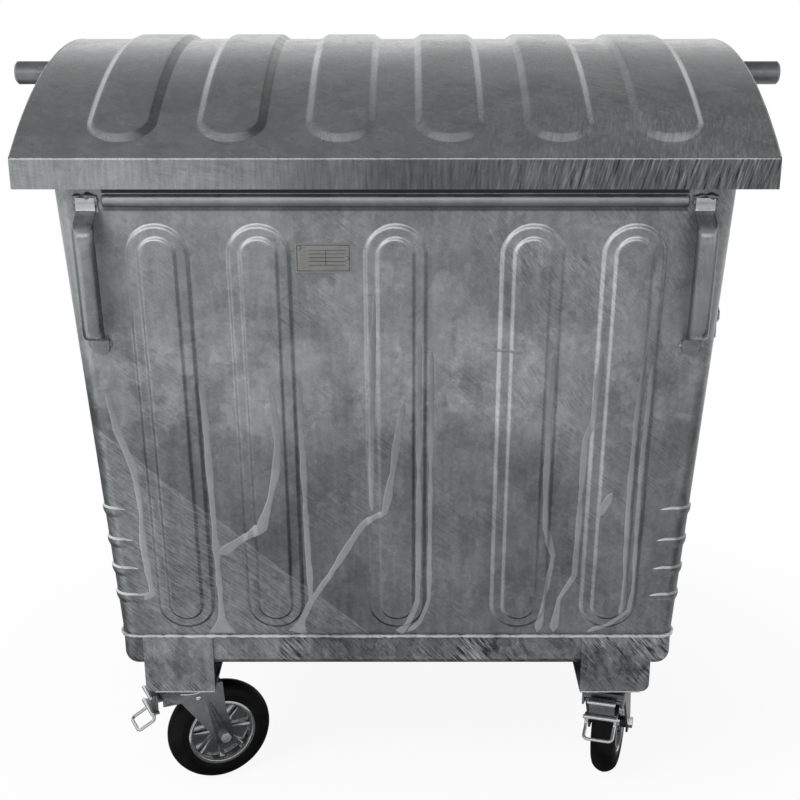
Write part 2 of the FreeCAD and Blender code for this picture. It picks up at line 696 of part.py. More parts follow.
def lid_sheet_outline(inset):
    """Spots along the lid's section at an inset: front foot, front fold, crown, rear fold, rear foot."""
    radius, depth = size("lid_radius") - inset, size("lid_half_depth") - inset
    axis, fold = size("lid_axis"), size("lid_fold") - inset
    centre = Vector(0, fold - depth, axis + math.sqrt((radius - fold) ** 2 - (depth - fold) ** 2))
    apron_side = Vector(0, -1, 0)
    crown_side = (centre - Vector(0, 0, axis)).normalize()
    between = (apron_side + crown_side).normalize()
    front = [Vector(0, -depth, size("lid_edge - apron_height"))]
    front += [centre + side * fold for side in (apron_side, between, crown_side)]
    rear = [Vector(0, -spot.y, spot.z) for spot in reversed(front)]
    return front + [Vector(0, 0, axis + radius)] + rear


def lid_edges(spots):
    """Apron, fold, curve, fold and apron along the spots of an outline."""
    return [Part.LineSegment(spots[0], spots[1]), Part.Arc(*spots[1:4]), Part.Arc(*spots[3:6]),
            Part.Arc(*spots[5:8]), Part.LineSegment(spots[7], spots[8])]


def lid_rib(across, sink, lift):
    """A band along the curve with half-round ends, sunk below the sheet and lifted by an offset."""
    half, lean = size("lid_rib_width") / 2, size("lid_rib_lean")
    rise = size("lid_rib_rise")
    radius, axis = size("lid_radius") + lift, size("lid_axis")
    end_depth = size("lid_half_depth - lid_rib_inset - lid_rib_width / 2")
    swing = math.degrees(math.asin(end_depth / size("lid_radius")))
    low, high = half + lean * sink, half - lean * rise
    bottom, top = axis + radius - sink, axis + radius + rise
    pivot, along = Vector(0, 0, axis), Vector(1, 0, 0)
    section = polyline_face([Vector(across - low, 0, bottom), Vector(across + low, 0, bottom),
                             Vector(across + high, 0, top), Vector(across - high, 0, top)])
    section.rotate(pivot, along, -swing)
    rib = section.revolve(pivot, along, 2 * swing)
    half_section = polyline_face([Vector(across, 0, bottom), Vector(across + low, 0, bottom),
                                  Vector(across + high, 0, top), Vector(across, 0, top)])
    for sign in (-1, 1):
        cap = half_section.revolve(Vector(across, 0, axis), Vector(0, 0, 1), -180 * sign)
        cap.rotate(pivot, along, sign * swing)
        rib = rib.fuse(cap)
    return rib


def lid_shell_shape():
    """Strips side by side, one to each rib, with the ribs raised and hollowed from below."""
    sheet, end = size("lid_sheet"), size("lid_shell_end")
    outer, inner = lid_sheet_outline(0), lid_sheet_outline(sheet)
    edges = lid_edges(outer) + lid_edges(inner)
    edges += [Part.LineSegment(outer[0], inner[0]), Part.LineSegment(outer[-1], inner[-1])]
    face = Part.Face(Part.Wire(Part.__sortEdges__([edge.toShape() for edge in edges])))
    pitch = size("lid_rib_pitch")
    places = [(number - (LID_RIBS - 1) / 2) * pitch for number in range(LID_RIBS)]
    borders = [-end] + [across + pitch / 2 for across in places[:-1]] + [end]
    strips = [face.translated(Vector(low, 0, 0)).extrude(Vector(high - low, 0, 0))
              for low, high in zip(borders, borders[1:])]
    shell = strips[0].fuse(strips[1:] + [lid_rib(across, 0.9 * sheet, 0) for across in places])
    return shell.cut([lid_rib(across, 4 * sheet, -sheet) for across in places])


lid_shell = solid_piece("lid_shell", single(lid_shell_shape()))


def lid_end_shape():
    """The right end plate: the lid's outline above an arc about the pivot."""
    outer = lid_sheet_outline(0)
    foot = outer[0].z
    pivot = Vector(0, size("pivot_depth"), size("pivot_height"))
    reach = size("end_plate_reach")
    half = math.sqrt(reach ** 2 - (foot - pivot.z) ** 2)
    front, rear = Vector(0, pivot.y - half, foot), Vector(0, pivot.y + half, foot)
    edges = lid_edges(outer)
    edges += [Part.LineSegment(outer[-1], rear), Part.Arc(rear, pivot + Vector(0, 0, reach), front),
              Part.LineSegment(front, outer[0])]
    face = Part.Face(Part.Wire(Part.__sortEdges__([edge.toShape() for edge in edges])))
    face.translate(Vector(size("lid_shell_end"), 0, 0))
    return face.extrude(Vector(size("lid_sheet"), 0, 0))


lid_end_right = solid_piece("lid_end_right", lid_end_shape())
lid_end_left = mirrored("lid_end_left", lid_end_right)


def arm_corner(angle):
    return ("pivot_depth + arm_reach * sin(%s)" % angle, "pivot_height + arm_reach * cos(%s)" % angle)


arm_blade = padded("arm_blade", "YZ_Plane",
                   [("pivot_depth - arm_eye_diameter / 2", "pivot_height"),
                    ("pivot_depth + arm_eye_diameter / 2", "pivot_height"),
                    arm_corner("arm_rear_angle"), arm_corner("arm_front_angle")], "arm_sheet")
place(arm_blade, "lid_half_length")
pivot_spot = ("lid_half_length", "pivot_depth", "pivot_height")
lid_arm_right = without("lid_arm_right",
                        fused("arm_with_eye", arm_blade,
                              rod("arm_eye", "x", pivot_spot, "arm_eye_diameter / 2", "arm_sheet")),
                        rod("arm_bore", "x", pivot_spot, "bush_diameter / 2 + seat_gap", "arm_sheet"))
lid_arm_left = mirrored("lid_arm_left", lid_arm_right)

bush_start = ("pivot_pad_face + end_gap", "pivot_depth", "pivot_height")
bush_length = "pivot_cheek_inside - pivot_pad_face - 2 * end_gap"
lid_pivot_bush_right = without("lid_pivot_bush_right",
                               rod("bush_outside", "x", bush_start, "bush_diameter / 2", bush_length),
                               rod("bush_bore", "x", bush_start, "pivot_bolt_diameter / 2 + running_gap",
                                   bush_length))
lid_pivot_bush_left = mirrored("lid_pivot_bush_left", lid_pivot_bush_right)

# Pivot bracket: a pad on the side wall, a front gusset and an outer cheek

bracket_low = "pivot_height - pivot_bracket_half_height"
bracket_high = "pivot_pad_top"
bracket_front = "pivot_depth - pivot_bracket_front"
bracket_rear = "pivot_depth + pivot_bracket_rear"
pivot_pad = side_block("pivot_pad", "pivot_pad_face", bracket_low, bracket_high, bracket_front,
                       bracket_rear)
pivot_gusset = box("pivot_gusset", ("pivot_pad_face", bracket_front, bracket_low),
                   ("pivot_cheek_face", bracket_front + " + pivot_bracket_sheet", bracket_high))
pivot_cheek = box("pivot_cheek", ("pivot_cheek_inside", bracket_front, bracket_low),
                  ("pivot_cheek_face", bracket_rear, bracket_high))
cheek_bore = rod("cheek_bore", "x", ("pivot_cheek_inside", "pivot_depth", "pivot_height"),
                 "pivot_bolt_diameter / 2 + seat_gap", "pivot_bracket_sheet")
lid_pivot_bracket_right = without("lid_pivot_bracket_right",
                                  fused("pivot_bracket_plates", pivot_pad, pivot_gusset, pivot_cheek),
                                  cheek_bore)
lid_pivot_bracket_left = mirrored("lid_pivot_bracket_left", lid_pivot_bracket_right)

lid_pivot_bolt_right = fused("lid_pivot_bolt_right",
                             rod("pivot_shank", "x", ("pivot_pad_face", "pivot_depth", "pivot_height"),
                                 "pivot_bolt_diameter / 2", "pivot_cheek_face - pivot_pad_face"),
                             hexagon("pivot_head", "x",
                                     ("pivot_cheek_face", "pivot_depth", "pivot_height"),
                                     "pivot_head_width", "pivot_head_height"))
lid_pivot_bolt_left = mirrored("lid_pivot_bolt_left", lid_pivot_bolt_right)


# Caster brackets: front apron with a round corner, bottom plate, flared rear plate

bracket_inner = "kingpin_side - bracket_length / 2"
bracket_outer = "kingpin_side + bracket_length / 2"
bracket_face = "-base_half_depth - bracket_sheet"
bracket_back = "bracket_depth - base_half_depth"
bracket_apron = padded("bracket_apron_body", "XZ_Plane",
                       [(bracket_inner, "caster_height"), (bracket_outer, "caster_height"),
                        (bracket_outer, "caster_height + bracket_apron"),
                        (bracket_inner, "caster_height + bracket_apron")], "bracket_sheet")
doc.recompute()
corner_side = size(bracket_outer)
corner_height = size("caster_height")
rounded(bracket_apron, "bracket_corner",
        lambda edge: edge.BoundBox.XMin > corner_side - NEAR and edge.BoundBox.YLength > NEAR
        and edge.BoundBox.ZMax < corner_height + NEAR)
place(bracket_apron, "0", "-base_half_depth")
bracket_floor = box("bracket_floor",
                    (bracket_inner, "-base_half_depth", "caster_height"),
                    (bracket_outer + " - bracket_corner", bracket_back, "caster_height + bracket_sheet"))
bracket_tail = padded("bracket_tail", "XZ_Plane",
                      [(bracket_inner, "caster_height"),
                       (bracket_outer + " - bracket_corner", "caster_height"),
                       (bracket_outer, "caster_height + bracket_corner"), (bracket_outer, "pan_floor"),
                       (bracket_inner + " - bracket_flare", "pan_floor")], "bracket_sheet")
place(bracket_tail, "0", bracket_back)

BOLT_SIGNS = [(x_sign, y_sign) for x_sign in (-1, 1) for y_sign in (-1, 1)]


def bolt_spot(signs, side="0", depth="0"):
    return ("%s + %d * bolt_pitch_length / 2" % (side, signs[0]),
            "%s + %d * bolt_pitch_width / 2" % (depth, signs[1]))


bracket_holes = [rod("bracket_hole_%d" % number, "z",
                     bolt_spot(signs, "kingpin_side", "-kingpin_depth") + ("caster_height",),
                     "bolt_hole_diameter / 2", "bracket_sheet")
                 for number, signs in enumerate(BOLT_SIGNS)]
caster_bracket_front_right = without("caster_bracket_front_right",
                                     fused("bracket_plates", bracket_apron, bracket_floor, bracket_tail),
                                     *bracket_holes)
caster_bracket_front_left = mirrored("caster_bracket_front_left", caster_bracket_front_right)
caster_bracket_rear_right = mirrored("caster_bracket_rear_right", caster_bracket_front_right, (0, 1, 0))
caster_bracket_rear_left = mirrored("caster_bracket_rear_left", caster_bracket_rear_right)


# Caster pieces, modelled about the swivel axis with the trailing side along +X

top_plate = box("top_plate", ("-top_plate_length / 2", "-top_plate_width / 2",
                              "caster_height - top_plate_sheet"),
                ("top_plate_length / 2", "top_plate_width / 2", "caster_height"))
race = rod("race", "z", ("0", "0", "race_bottom"), "race_diameter / 2", "race_height")
kingpin = rod("kingpin", "z", ("0", "0", "kingpin_end"), "kingpin_diameter / 2",
              "race_bottom - kingpin_end")
kingpin_head = rod("kingpin_head", "z", ("0", "0", "kingpin_end - kingpin_head_height"),
                   "kingpin_head_diameter / 2", "kingpin_head_height")
plate_holes = [rod("plate_hole_%d" % number, "z", bolt_spot(signs) + ("caster_height - top_plate_sheet",),
                   "bolt_hole_diameter / 2", "top_plate_sheet")
               for number, signs in enumerate(BOLT_SIGNS)]
caster_plate = without("caster_plate", fused("caster_plate_solid", top_plate, race, kingpin, kingpin_head),
                       *plate_holes)

ear_bottom = "brake_pin_height - brake_pin_diameter"
leg_corners = [("-brake_pin_lead - brake_pin_diameter", "crown_top"), ("trail", "crown_top"),
               ("trail + axle_head_width * 0.2", "wheel_radius + hub_diameter * 1.6"),
               ("trail + hub_diameter / 2", "wheel_radius + hub_diameter * 0.3"),
               ("trail + hub_diameter * 0.4", "wheel_radius - hub_diameter * 0.4"),
               ("trail - hub_diameter * 0.4", "wheel_radius - hub_diameter * 0.4"),
               ("trail - hub_diameter / 2", "wheel_radius"),
               ("-brake_pin_lead / 2", ear_bottom),
               ("-brake_pin_lead - brake_pin_diameter", ear_bottom)]
fork_blank = padded("fork_blank", "XZ_Plane", leg_corners, "2 * fork_half", symmetric=True)
crown = rod("crown", "z", ("0", "0", "crown_bottom"), "crown_diameter / 2", "crown_thickness")
leg_space = box("leg_space", ("-wheel_diameter", "-fork_inside / 2", "0"),
                ("wheel_diameter", "fork_inside / 2", "crown_bottom"))
kingpin_bore = rod("kingpin_bore", "z", ("0", "0", "crown_bottom"),
                   "kingpin_diameter / 2 + running_gap", "crown_thickness")
axle_bore = rod("axle_bore", "y", ("trail", "-fork_half", "wheel_radius"),
                "axle_diameter / 2 + seat_gap", "2 * fork_half")
brake_bore = rod("brake_bore", "y", ("-brake_pin_lead", "-fork_half", "brake_pin_height"),
                 "brake_pin_diameter / 2 + running_gap", "2 * fork_half")
caster_fork = without("caster_fork", fused("fork_solid", fork_blank, crown), leg_space, kingpin_bore,
                      axle_bore, brake_bore)

# Wheel pieces turn about their own Y axis, centred on the wheel

wheel_axle = fused("wheel_axle",
                   rod("axle_shank", "y", ("0", "-fork_half", "0"), "axle_diameter / 2", "2 * fork_half"),
                   hexagon("axle_head", "y", ("0", "-fork_half - axle_head_height", "0"),
                           "axle_head_width", "axle_head_height"),
                   hexagon("axle_nut", "y", ("0", "fork_half", "0"), "axle_head_width",
                           "axle_head_height"))

sleeve_half = "(fork_inside / 2 - end_gap)"
wheel_bearing = revolved("wheel_bearing",
                         [("axle_diameter / 2 + running_gap", "-" + sleeve_half),
                          ("bearing_diameter / 2", "-" + sleeve_half),
                          ("bearing_diameter / 2", sleeve_half),
                          ("axle_diameter / 2 + running_gap", sleeve_half)])

rim_inside = "rim_diameter / 2 - rim_wall"
half_section = [("bearing_diameter / 2 + seat_gap", "hub_width / 2"), ("hub_diameter / 2", "hub_width / 2"),
                ("hub_diameter / 2", "web_sheet / 2"), (rim_inside, "web_sheet / 2"),
                (rim_inside, "rim_width / 2"), ("rim_diameter / 2", "rim_width / 2")]
wheel_rim = revolved("wheel_rim",
                     half_section + [(across, "-" + along) for across, along in reversed(half_section)])
spoke = wheel_rim.newObject("PartDesign::Pad", "spoke")
spoke.Profile = outline(wheel_rim, "XZ_Plane",
                        [("hub_diameter / 2 - rim_wall / 2", "-spoke_width / 2"),
                         (rim_inside + " + rim_wall / 2", "-spoke_width / 2"),
                         (rim_inside + " + rim_wall / 2", "spoke_width / 2"),
                         ("hub_diameter / 2 - rim_wall / 2", "spoke_width / 2")])
spoke.SideType = "Symmetric"
bind(spoke, Length="spoke_depth")
doc.recompute()
spokes = wheel_rim.newObject("PartDesign::PolarPattern", "spokes")
spokes.Originals = [spoke]
spokes.Axis = (plane_of(wheel_rim, "Y_Axis"), [""])
spokes.Angle = 360
bind(spokes, Occurrences="spoke_count")
wheel_rim.Tip = spokes

tyre_seat = "rim_diameter / 2 + seat_gap"
tyre = revolved("tyre", [(tyre_seat, "-tyre_width / 2"), ("wheel_radius", "-tyre_width / 2"),
                         ("wheel_radius", "tyre_width / 2"), (tyre_seat, "tyre_width / 2")])
tread_radius = size("wheel_radius")
rounded(tyre, "tyre_shoulder", lambda edge: isinstance(edge.Curve, Part.Circle)
        and abs(edge.Curve.Radius - tread_radius) < NEAR)

# Brake: a pedal on a cross pin ahead of the fork, and its wire bail

pedal_pin = rod("pedal_pin", "y", ("-brake_pin_lead", "-fork_half", "brake_pin_height"),
                "brake_pin_diameter / 2", "2 * fork_half")
pedal_plate = box("pedal_plate", ("-pedal_face", "-pedal_width / 2", "pedal_bottom"),
                  ("-pedal_face + pedal_sheet", "pedal_width / 2", "pedal_top"))
upper_lip = box("upper_lip", ("-pedal_face - pedal_lip", "-pedal_width / 2", "pedal_top - pedal_sheet"),
                ("-pedal_face", "pedal_width / 2", "pedal_top"))
lower_lip = box("lower_lip", ("-pedal_face - pedal_lip", "-pedal_lip_width / 2", "pedal_bottom"),
                ("-pedal_face + pedal_sheet", "pedal_lip_width / 2", "pedal_bottom + pedal_sheet"))
pedal_hub = box("pedal_hub",
                ("-pedal_face", "-pedal_width / 2", "brake_pin_height - brake_pin_diameter / 2"),
                ("-brake_pin_lead", "pedal_width / 2", "brake_pin_height + brake_pin_diameter / 2"))
brake_pedal = fused("brake_pedal", pedal_pin, pedal_plate, upper_lip, lower_lip, pedal_hub)


def bent_path(points, radius):
    """Straight runs joined by tangent arcs of one radius."""
    edges = []
    start = points[0]
    for before, corner, after in zip(points, points[1:], points[2:]):
        back, ahead = (before - corner).normalize(), (after - corner).normalize()
        half_turn = (math.pi - back.getAngle(ahead)) / 2
        setback = radius * math.tan(half_turn)
        inward = (back + ahead).normalize()
        middle = corner + inward * (radius / math.cos(half_turn) - radius)
        entry, leave = corner + back * setback, corner + ahead * setback
        edges += [Part.LineSegment(start, entry).toShape(), Part.Arc(entry, middle, leave).toShape()]
        start = leave
    edges.append(Part.LineSegment(start, points[-1]).toShape())
    return Part.Wire(edges)


def bail_shape():
    """A wire loop from the pedal's lower lip, down, ahead and back."""
    root, low = size("-pedal_face - bail_diameter"), size("pedal_bottom")
    half, stem = size("bail_half_width"), size("bail_stem")
    nose, foot = root - size("bail_lead"), low - size("bail_drop")
    right = [Vector(root, half, low), Vector(root, half, low - stem), Vector(nose, half, foot)]
    left = [Vector(spot.x, -spot.y, spot.z) for spot in reversed(right)]
    path = bent_path(right + left, size("bail_bend"))
    section = Part.Wire([Part.makeCircle(size("bail_diameter / 2"), right[0], Vector(0, 0, -1))])
    return path.makePipeShell([section], True, False)


brake_bail = solid_piece("brake_bail", bail_shape())


# The four stations of the casters

def bolt_shape():
    """A caster bolt on its own upright axis: head, shank and nut."""
    low, high = size("caster_height - top_plate_sheet"), size("caster_height + bracket_sheet")
    head = size("bolt_head_height")
    corners = [Vector(size("bolt_head_width") / 2, 0, 0)]
    for turn in range(1, 6):
        corners.append(Rotation(Vector(0, 0, 1), 60 * turn).multVec(corners[0]))
    hexagon_face = polyline_face(corners)
    pieces = [hexagon_face.translated(Vector(0, 0, level)).extrude(Vector(0, 0, head))
              for level in (low - head, high)]
    shank = Part.makeCylinder(size("bolt_diameter") / 2, high - low, Vector(0, 0, low))
    return shank.fuse(pieces).removeSplitter()


STATIONS = [("front_left", -1, -1), ("front_right", 1, -1), ("rear_left", -1, 1), ("rear_right", 1, 1)]
WHEEL_PIECES = [wheel_axle, wheel_bearing, wheel_rim, tyre]
BRAKE_PIECES = [brake_pedal, brake_bail]
caster_nodes = []
bolts = []
bolt = bolt_shape()
for station, x_sign, y_sign in STATIONS:
    side, depth = "%d * kingpin_side" % x_sign, "%d * kingpin_depth" % y_sign
    heading = "heading_" + station
    caster_nodes.append(stationed("caster_plate_" + station, caster_plate, side, depth))
    caster_nodes.append(stationed("caster_fork_" + station, caster_fork, side, depth, "0", heading))
    for piece in WHEEL_PIECES:
        caster_nodes.append(stationed(piece.Name + "_" + station, piece,
                                      "%s + trail * cos(%s)" % (side, heading),
                                      "%s + trail * sin(%s)" % (depth, heading), "wheel_radius", heading))
    if y_sign < 0:
        for piece in BRAKE_PIECES:
            caster_nodes.append(stationed(piece.Name + "_" + station, piece, side, depth, "0", heading))
    for signs in BOLT_SIGNS:
        across, along = [size(text) for text in bolt_spot(signs, side, depth)]
        bolts.append(bolt.translated(Vector(across, along, 0)))
caster_bolts = solid_piece("caster_bolts", Part.makeCompound(bolts))

NODES = [
    front_wall, rear_wall, side_wall_left, side_wall_right, floor_pan, rim_bar_front, rim_bar_rear,
    handle_front_left, handle_front_right, type_plate, type_plate_rivets,
    trunnion_plate_left, trunnion_plate_right, trunnion_left, trunnion_right,
    lid_pivot_bracket_left, lid_pivot_bracket_right, lid_pivot_bolt_left, lid_pivot_bolt_right,
    caster_bracket_front_left, caster_bracket_front_right, caster_bracket_rear_left,
    caster_bracket_rear_right, caster_bolts,
    lid_shell, lid_end_left, lid_end_right, lid_arm_left, lid_arm_right,
    lid_pivot_bush_left, lid_pivot_bush_right,
] + caster_nodes

doc.recompute()
for item in doc.Objects:
    if "Invalid" in item.State or "Error" in item.State:
        raise RuntimeError("%s did not build: %s" % (item.Label, item.State))
for node in NODES:
    if node.Shape.isNull() or not node.Shape.isValid():
        raise RuntimeError("%s has no valid shape" % node.Label)

os.makedirs("parts", exist_ok=True)
for node in NODES:
    solids = node.Shape.Solids
    shape = solids[0] if len(solids) == 1 else node.Shape
    shape.exportStep("parts/%s.step" % node.Label)
    print("%-30s %2d solids %12.0f mm3" % (node.Label, len(solids), node.Shape.Volume))
print(len(NODES), "nodes")
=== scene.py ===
# %% [markdown]
# # A wheeled waste container in hot-dip zinc
#
# The real object is a pressed steel tub on four casters, with a round lid that swings back over it.
# Nearly all of it was dipped in molten zinc, so one grey metal has to carry the whole picture: its
# clouds, its runs and the way it mirrors floor and ceiling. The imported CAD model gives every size
# and every joint. Blender adds what a press, a welder and a zinc bath leave behind.

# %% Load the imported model
import json
import math

import bmesh
import bpy
from mathutils import Matrix, Vector, noise

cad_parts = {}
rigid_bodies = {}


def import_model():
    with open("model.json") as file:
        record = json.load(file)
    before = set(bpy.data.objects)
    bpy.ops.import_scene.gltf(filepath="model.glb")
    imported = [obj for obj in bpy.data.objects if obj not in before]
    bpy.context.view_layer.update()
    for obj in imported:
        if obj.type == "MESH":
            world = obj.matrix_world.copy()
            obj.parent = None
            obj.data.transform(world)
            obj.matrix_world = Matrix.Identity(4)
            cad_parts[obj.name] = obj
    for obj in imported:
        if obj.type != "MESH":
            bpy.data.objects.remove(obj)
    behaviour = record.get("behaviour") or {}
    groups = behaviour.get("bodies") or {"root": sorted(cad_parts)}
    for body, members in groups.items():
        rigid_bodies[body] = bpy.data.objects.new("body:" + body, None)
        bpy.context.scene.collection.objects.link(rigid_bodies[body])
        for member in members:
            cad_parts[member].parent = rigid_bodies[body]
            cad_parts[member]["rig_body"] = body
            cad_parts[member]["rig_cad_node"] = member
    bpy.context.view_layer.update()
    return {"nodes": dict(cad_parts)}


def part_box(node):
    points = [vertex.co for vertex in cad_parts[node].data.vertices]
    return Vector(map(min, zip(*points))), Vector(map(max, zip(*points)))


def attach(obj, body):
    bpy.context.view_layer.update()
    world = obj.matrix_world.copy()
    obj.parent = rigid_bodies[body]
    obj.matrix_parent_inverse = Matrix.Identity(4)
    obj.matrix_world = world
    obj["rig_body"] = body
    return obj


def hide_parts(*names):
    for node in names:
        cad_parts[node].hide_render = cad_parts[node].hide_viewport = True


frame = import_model()
nodes = frame["nodes"]
MM = 0.001

# %% [markdown]
# ## Sums on sockets
#
# A finish is a sum of many patterns, and sums are easier to read as Python than as boxes and wires.
# Value wraps one output socket, and adding or multiplying two of them adds the Math node. Paint is
# the node tree of one material or of the world: its node method makes any other node from its type,
# its settings and its inputs.

# %% Socket sums and the paint box
class Value:
    def __init__(self, paint, socket):
        self.paint, self.socket = paint, socket

    def sum(self, operation, first, second):
        return self.paint.node("ShaderNodeMath", {"operation": operation}, {0: first, 1: second})

    def __add__(self, other):
        return self.sum("ADD", self, other)

    def __sub__(self, other):
        return self.sum("SUBTRACT", self, other)

    def __rsub__(self, other):
        return self.sum("SUBTRACT", other, self)

    def __mul__(self, other):
        return self.sum("MULTIPLY", self, other)

    def __truediv__(self, other):
        return self.sum("DIVIDE", self, other)

    def __abs__(self):
        return self.sum("ABSOLUTE", self, 0.0)

    __radd__, __rmul__ = __add__, __mul__


class Paint:
    def __init__(self, owner):
        owner.use_nodes = True
        self.owner, self.tree = owner, owner.node_tree
        self.shader = self.tree.nodes.get("Principled BSDF") or self.tree.nodes["Background"]

    def node(self, kind, settings=None, inputs=None, output=0):
        made = self.tree.nodes.new(kind)
        for name, value in (settings or {}).items():
            setattr(made, name, value)
        for name, value in (inputs or {}).items():
            self.join(value, made.inputs[name])
        return Value(self, made.outputs[output])

    def join(self, value, socket):
        if isinstance(value, Value):
            self.tree.links.new(value.socket, socket)
        else:
            socket.default_value = value

    def feed(self, **values):
        for name, value in values.items():
            self.join(value, self.shader.inputs[name.replace("_", " ")])

    def show(self, shader):
        self.tree.links.new(shader.socket, self.tree.nodes["Material Output"].inputs["Surface"])


def new_paint(name):
    return Paint(bpy.data.materials.new(name))


# %% [markdown]
# ## Patterns measured in metres
#
# Every piece sits at the origin with its place in its mesh, so Object coordinates are metres in the
# container's own frame. A pattern can then be given the size it has on the real sheet, and a mark
# on the front wall can be put at its real place. Mapping is set to Texture, which turns first and
# then stretches, so that a scratch can run slantwise.

# %% Grain, steps and places
def where(paint, kind="Object"):
    vector = paint.node("ShaderNodeTexCoord", output=kind)
    split = paint.node("ShaderNodeSeparateXYZ", None, {0: vector}).socket.node
    return [Value(paint, split.outputs[axis]) for axis in "XYZ"]


def facing(paint):
    return where(paint, "Normal")


def grain(paint, size, detail=3.0, turn=0.0, warp=0.0, roughness=0.55):
    size = size if isinstance(size, tuple) else (size, size, size)
    here = paint.node("ShaderNodeTexCoord", output="Object")
    turned = paint.node("ShaderNodeMapping", {"vector_type": "TEXTURE"},
                        {"Vector": here, "Rotation": (0.0, math.radians(turn), 0.0), "Scale": size})
    return paint.node("ShaderNodeTexNoise", None,
                      {"Vector": turned, "Scale": 1.0, "Detail": detail, "Roughness": roughness,
                       "Distortion": warp})


def spangle(paint, size):
    here = paint.node("ShaderNodeTexCoord", output="Object")
    cells = paint.node("ShaderNodeTexVoronoi", None, {"Vector": here, "Scale": 1 / size},
                       output="Color")
    return paint.node("ShaderNodeSeparateColor", None, {0: cells})


def step(value, low, high):
    return value.paint.node("ShaderNodeMapRange", {"interpolation_type": "SMOOTHSTEP"},
                            {"Value": value, "From Min": low, "From Max": high})


def band(value, middle, half, soft):
    return 1.0 - step(abs(value - middle), half, half + soft)


def blend(share, dark, light):
    return share.paint.node("ShaderNodeMix", {"data_type": "RGBA"}, {0: share, 6: dark, 7: light},
                            output=2)


# %% [markdown]
# ## Hot-dip zinc
#
# Zinc from a bath is not one grey. It clouds over a hand's width, freezes in patches with a clear
# edge and in spangles of a centimetre, streaks where it drained and keeps fine slanting brush
# lines. All of these are summed into one number, the tone, which mixes a dark and a light zinc. The
# same patterns roughen the gloss and raise a faint bump, so highlights break up where the colour
# does. A finish can bring a function that adds the marks of its own sheet, and on some sheets also
# painted light and shade.

# %% The zinc finish
DARK_ZINC = (0.0295, 0.0330, 0.0350, 1.0)
LIGHT_ZINC = (0.636, 0.655, 0.664, 1.0)
DARK_TONE, TONE_SPAN = 0.033, 0.622
SPANGLE_SIZE, BUMP_DEPTH = 0.011, 0.0009


def zinc(name, tone, spread=1.0, roughness=0.36, slant=38.0, metal=0.70, relief=0.20,
         hatch=1.0, extra=None):
    paint = new_paint(name)
    cloud = grain(paint, (0.24, 0.24, 0.30), 2.0)
    patch = grain(paint, (0.045, 0.045, 0.06), 4.0, warp=0.4)
    bloom = step(grain(paint, (0.10, 0.10, 0.15), 4.0, roughness=0.62), 0.50, 0.516)
    flake = step(grain(paint, (0.026, 0.026, 0.042), roughness=0.6), 0.58, 0.60)
    cells = spangle(paint, SPANGLE_SIZE)
    streak = grain(paint, (0.012, 0.012, 0.34))
    brush = grain(paint, (0.030, 0.030, 0.0024), 2.5, turn=slant)
    brushed = step(grain(paint, 0.15), 0.50, 0.62)
    dust = grain(paint, 0.0026, 2.0)
    mixed = (0.80 * (cloud - 0.5) + 0.45 * (patch - 0.5) + 0.13 * (bloom - 0.5)
             + 0.10 * flake + 0.10 * (cells - 0.5) + 0.30 * (streak - 0.5) + 0.36 * (dust - 0.5)
             + hatch * (brush - 0.5) * (0.16 + 0.75 * brushed))
    shade = tone * (1.0 + spread * mixed)
    if extra:
        shade = extra(paint, shade)
    colour = blend((shade - DARK_TONE) / TONE_SPAN, DARK_ZINC, LIGHT_ZINC)
    rough = (roughness + 0.14 * (patch - 0.5) + 0.08 * (brush - 0.5) + 0.05 * (cells - 0.5)
             + 0.04 * (bloom - 0.5))
    height = 0.5 * patch + 0.14 * brush + 0.06 * dust
    bump = paint.node("ShaderNodeBump", None,
                      {"Strength": relief, "Distance": BUMP_DEPTH, "Height": height})
    paint.feed(Base_Color=colour, Roughness=rough, Normal=bump, Metallic=metal)
    return paint.owner


# %% [markdown]
# ## The marks on the tub, and its painted light and shade
#
# The front wall went into the bath slantwise: below a sharp line from the left edge down to the
# base the zinc is paler, with brush lines along the slope, and just above it a little darker. The
# line is straight in X and Z, so the distance from it is a plain sum of coordinates, and the pale
# side and its bright edge are steps of that distance. Steeper brush lines fill the upper right, and
# a wide cloudy band across the middle was wiped. The wall darkens towards its foot, which is
# painted shade, and painted shadow lines run along both edges of the front rim bar, where the lid
# overhangs.
# The pressings get painted light drawn by their normal: a painted highlight on what faces up and
# painted shade on what faces down; on the right half a painted highlight on flanks turned left, and
# on the left half painted shade on flanks turned right and low on flanks turned left.
#
# The rim bars get a painted highlight, the front one with painted shade underneath, the runs fade
# upwards, and both edges of a handle have painted shade.

# %% The tub's zinc
DIP_POINT_X, DIP_POINT_Z = -0.351, 0.618
DIP_NORMAL_X, DIP_NORMAL_Z = -0.669, -0.743
# Reach and heights of the painted shadow along the front rim bar.
BAR_SHADOW_HALF, BAR_SHADOW_ABOVE, BAR_SHADOW_BELOW = 0.443, 1.1350, 1.1118


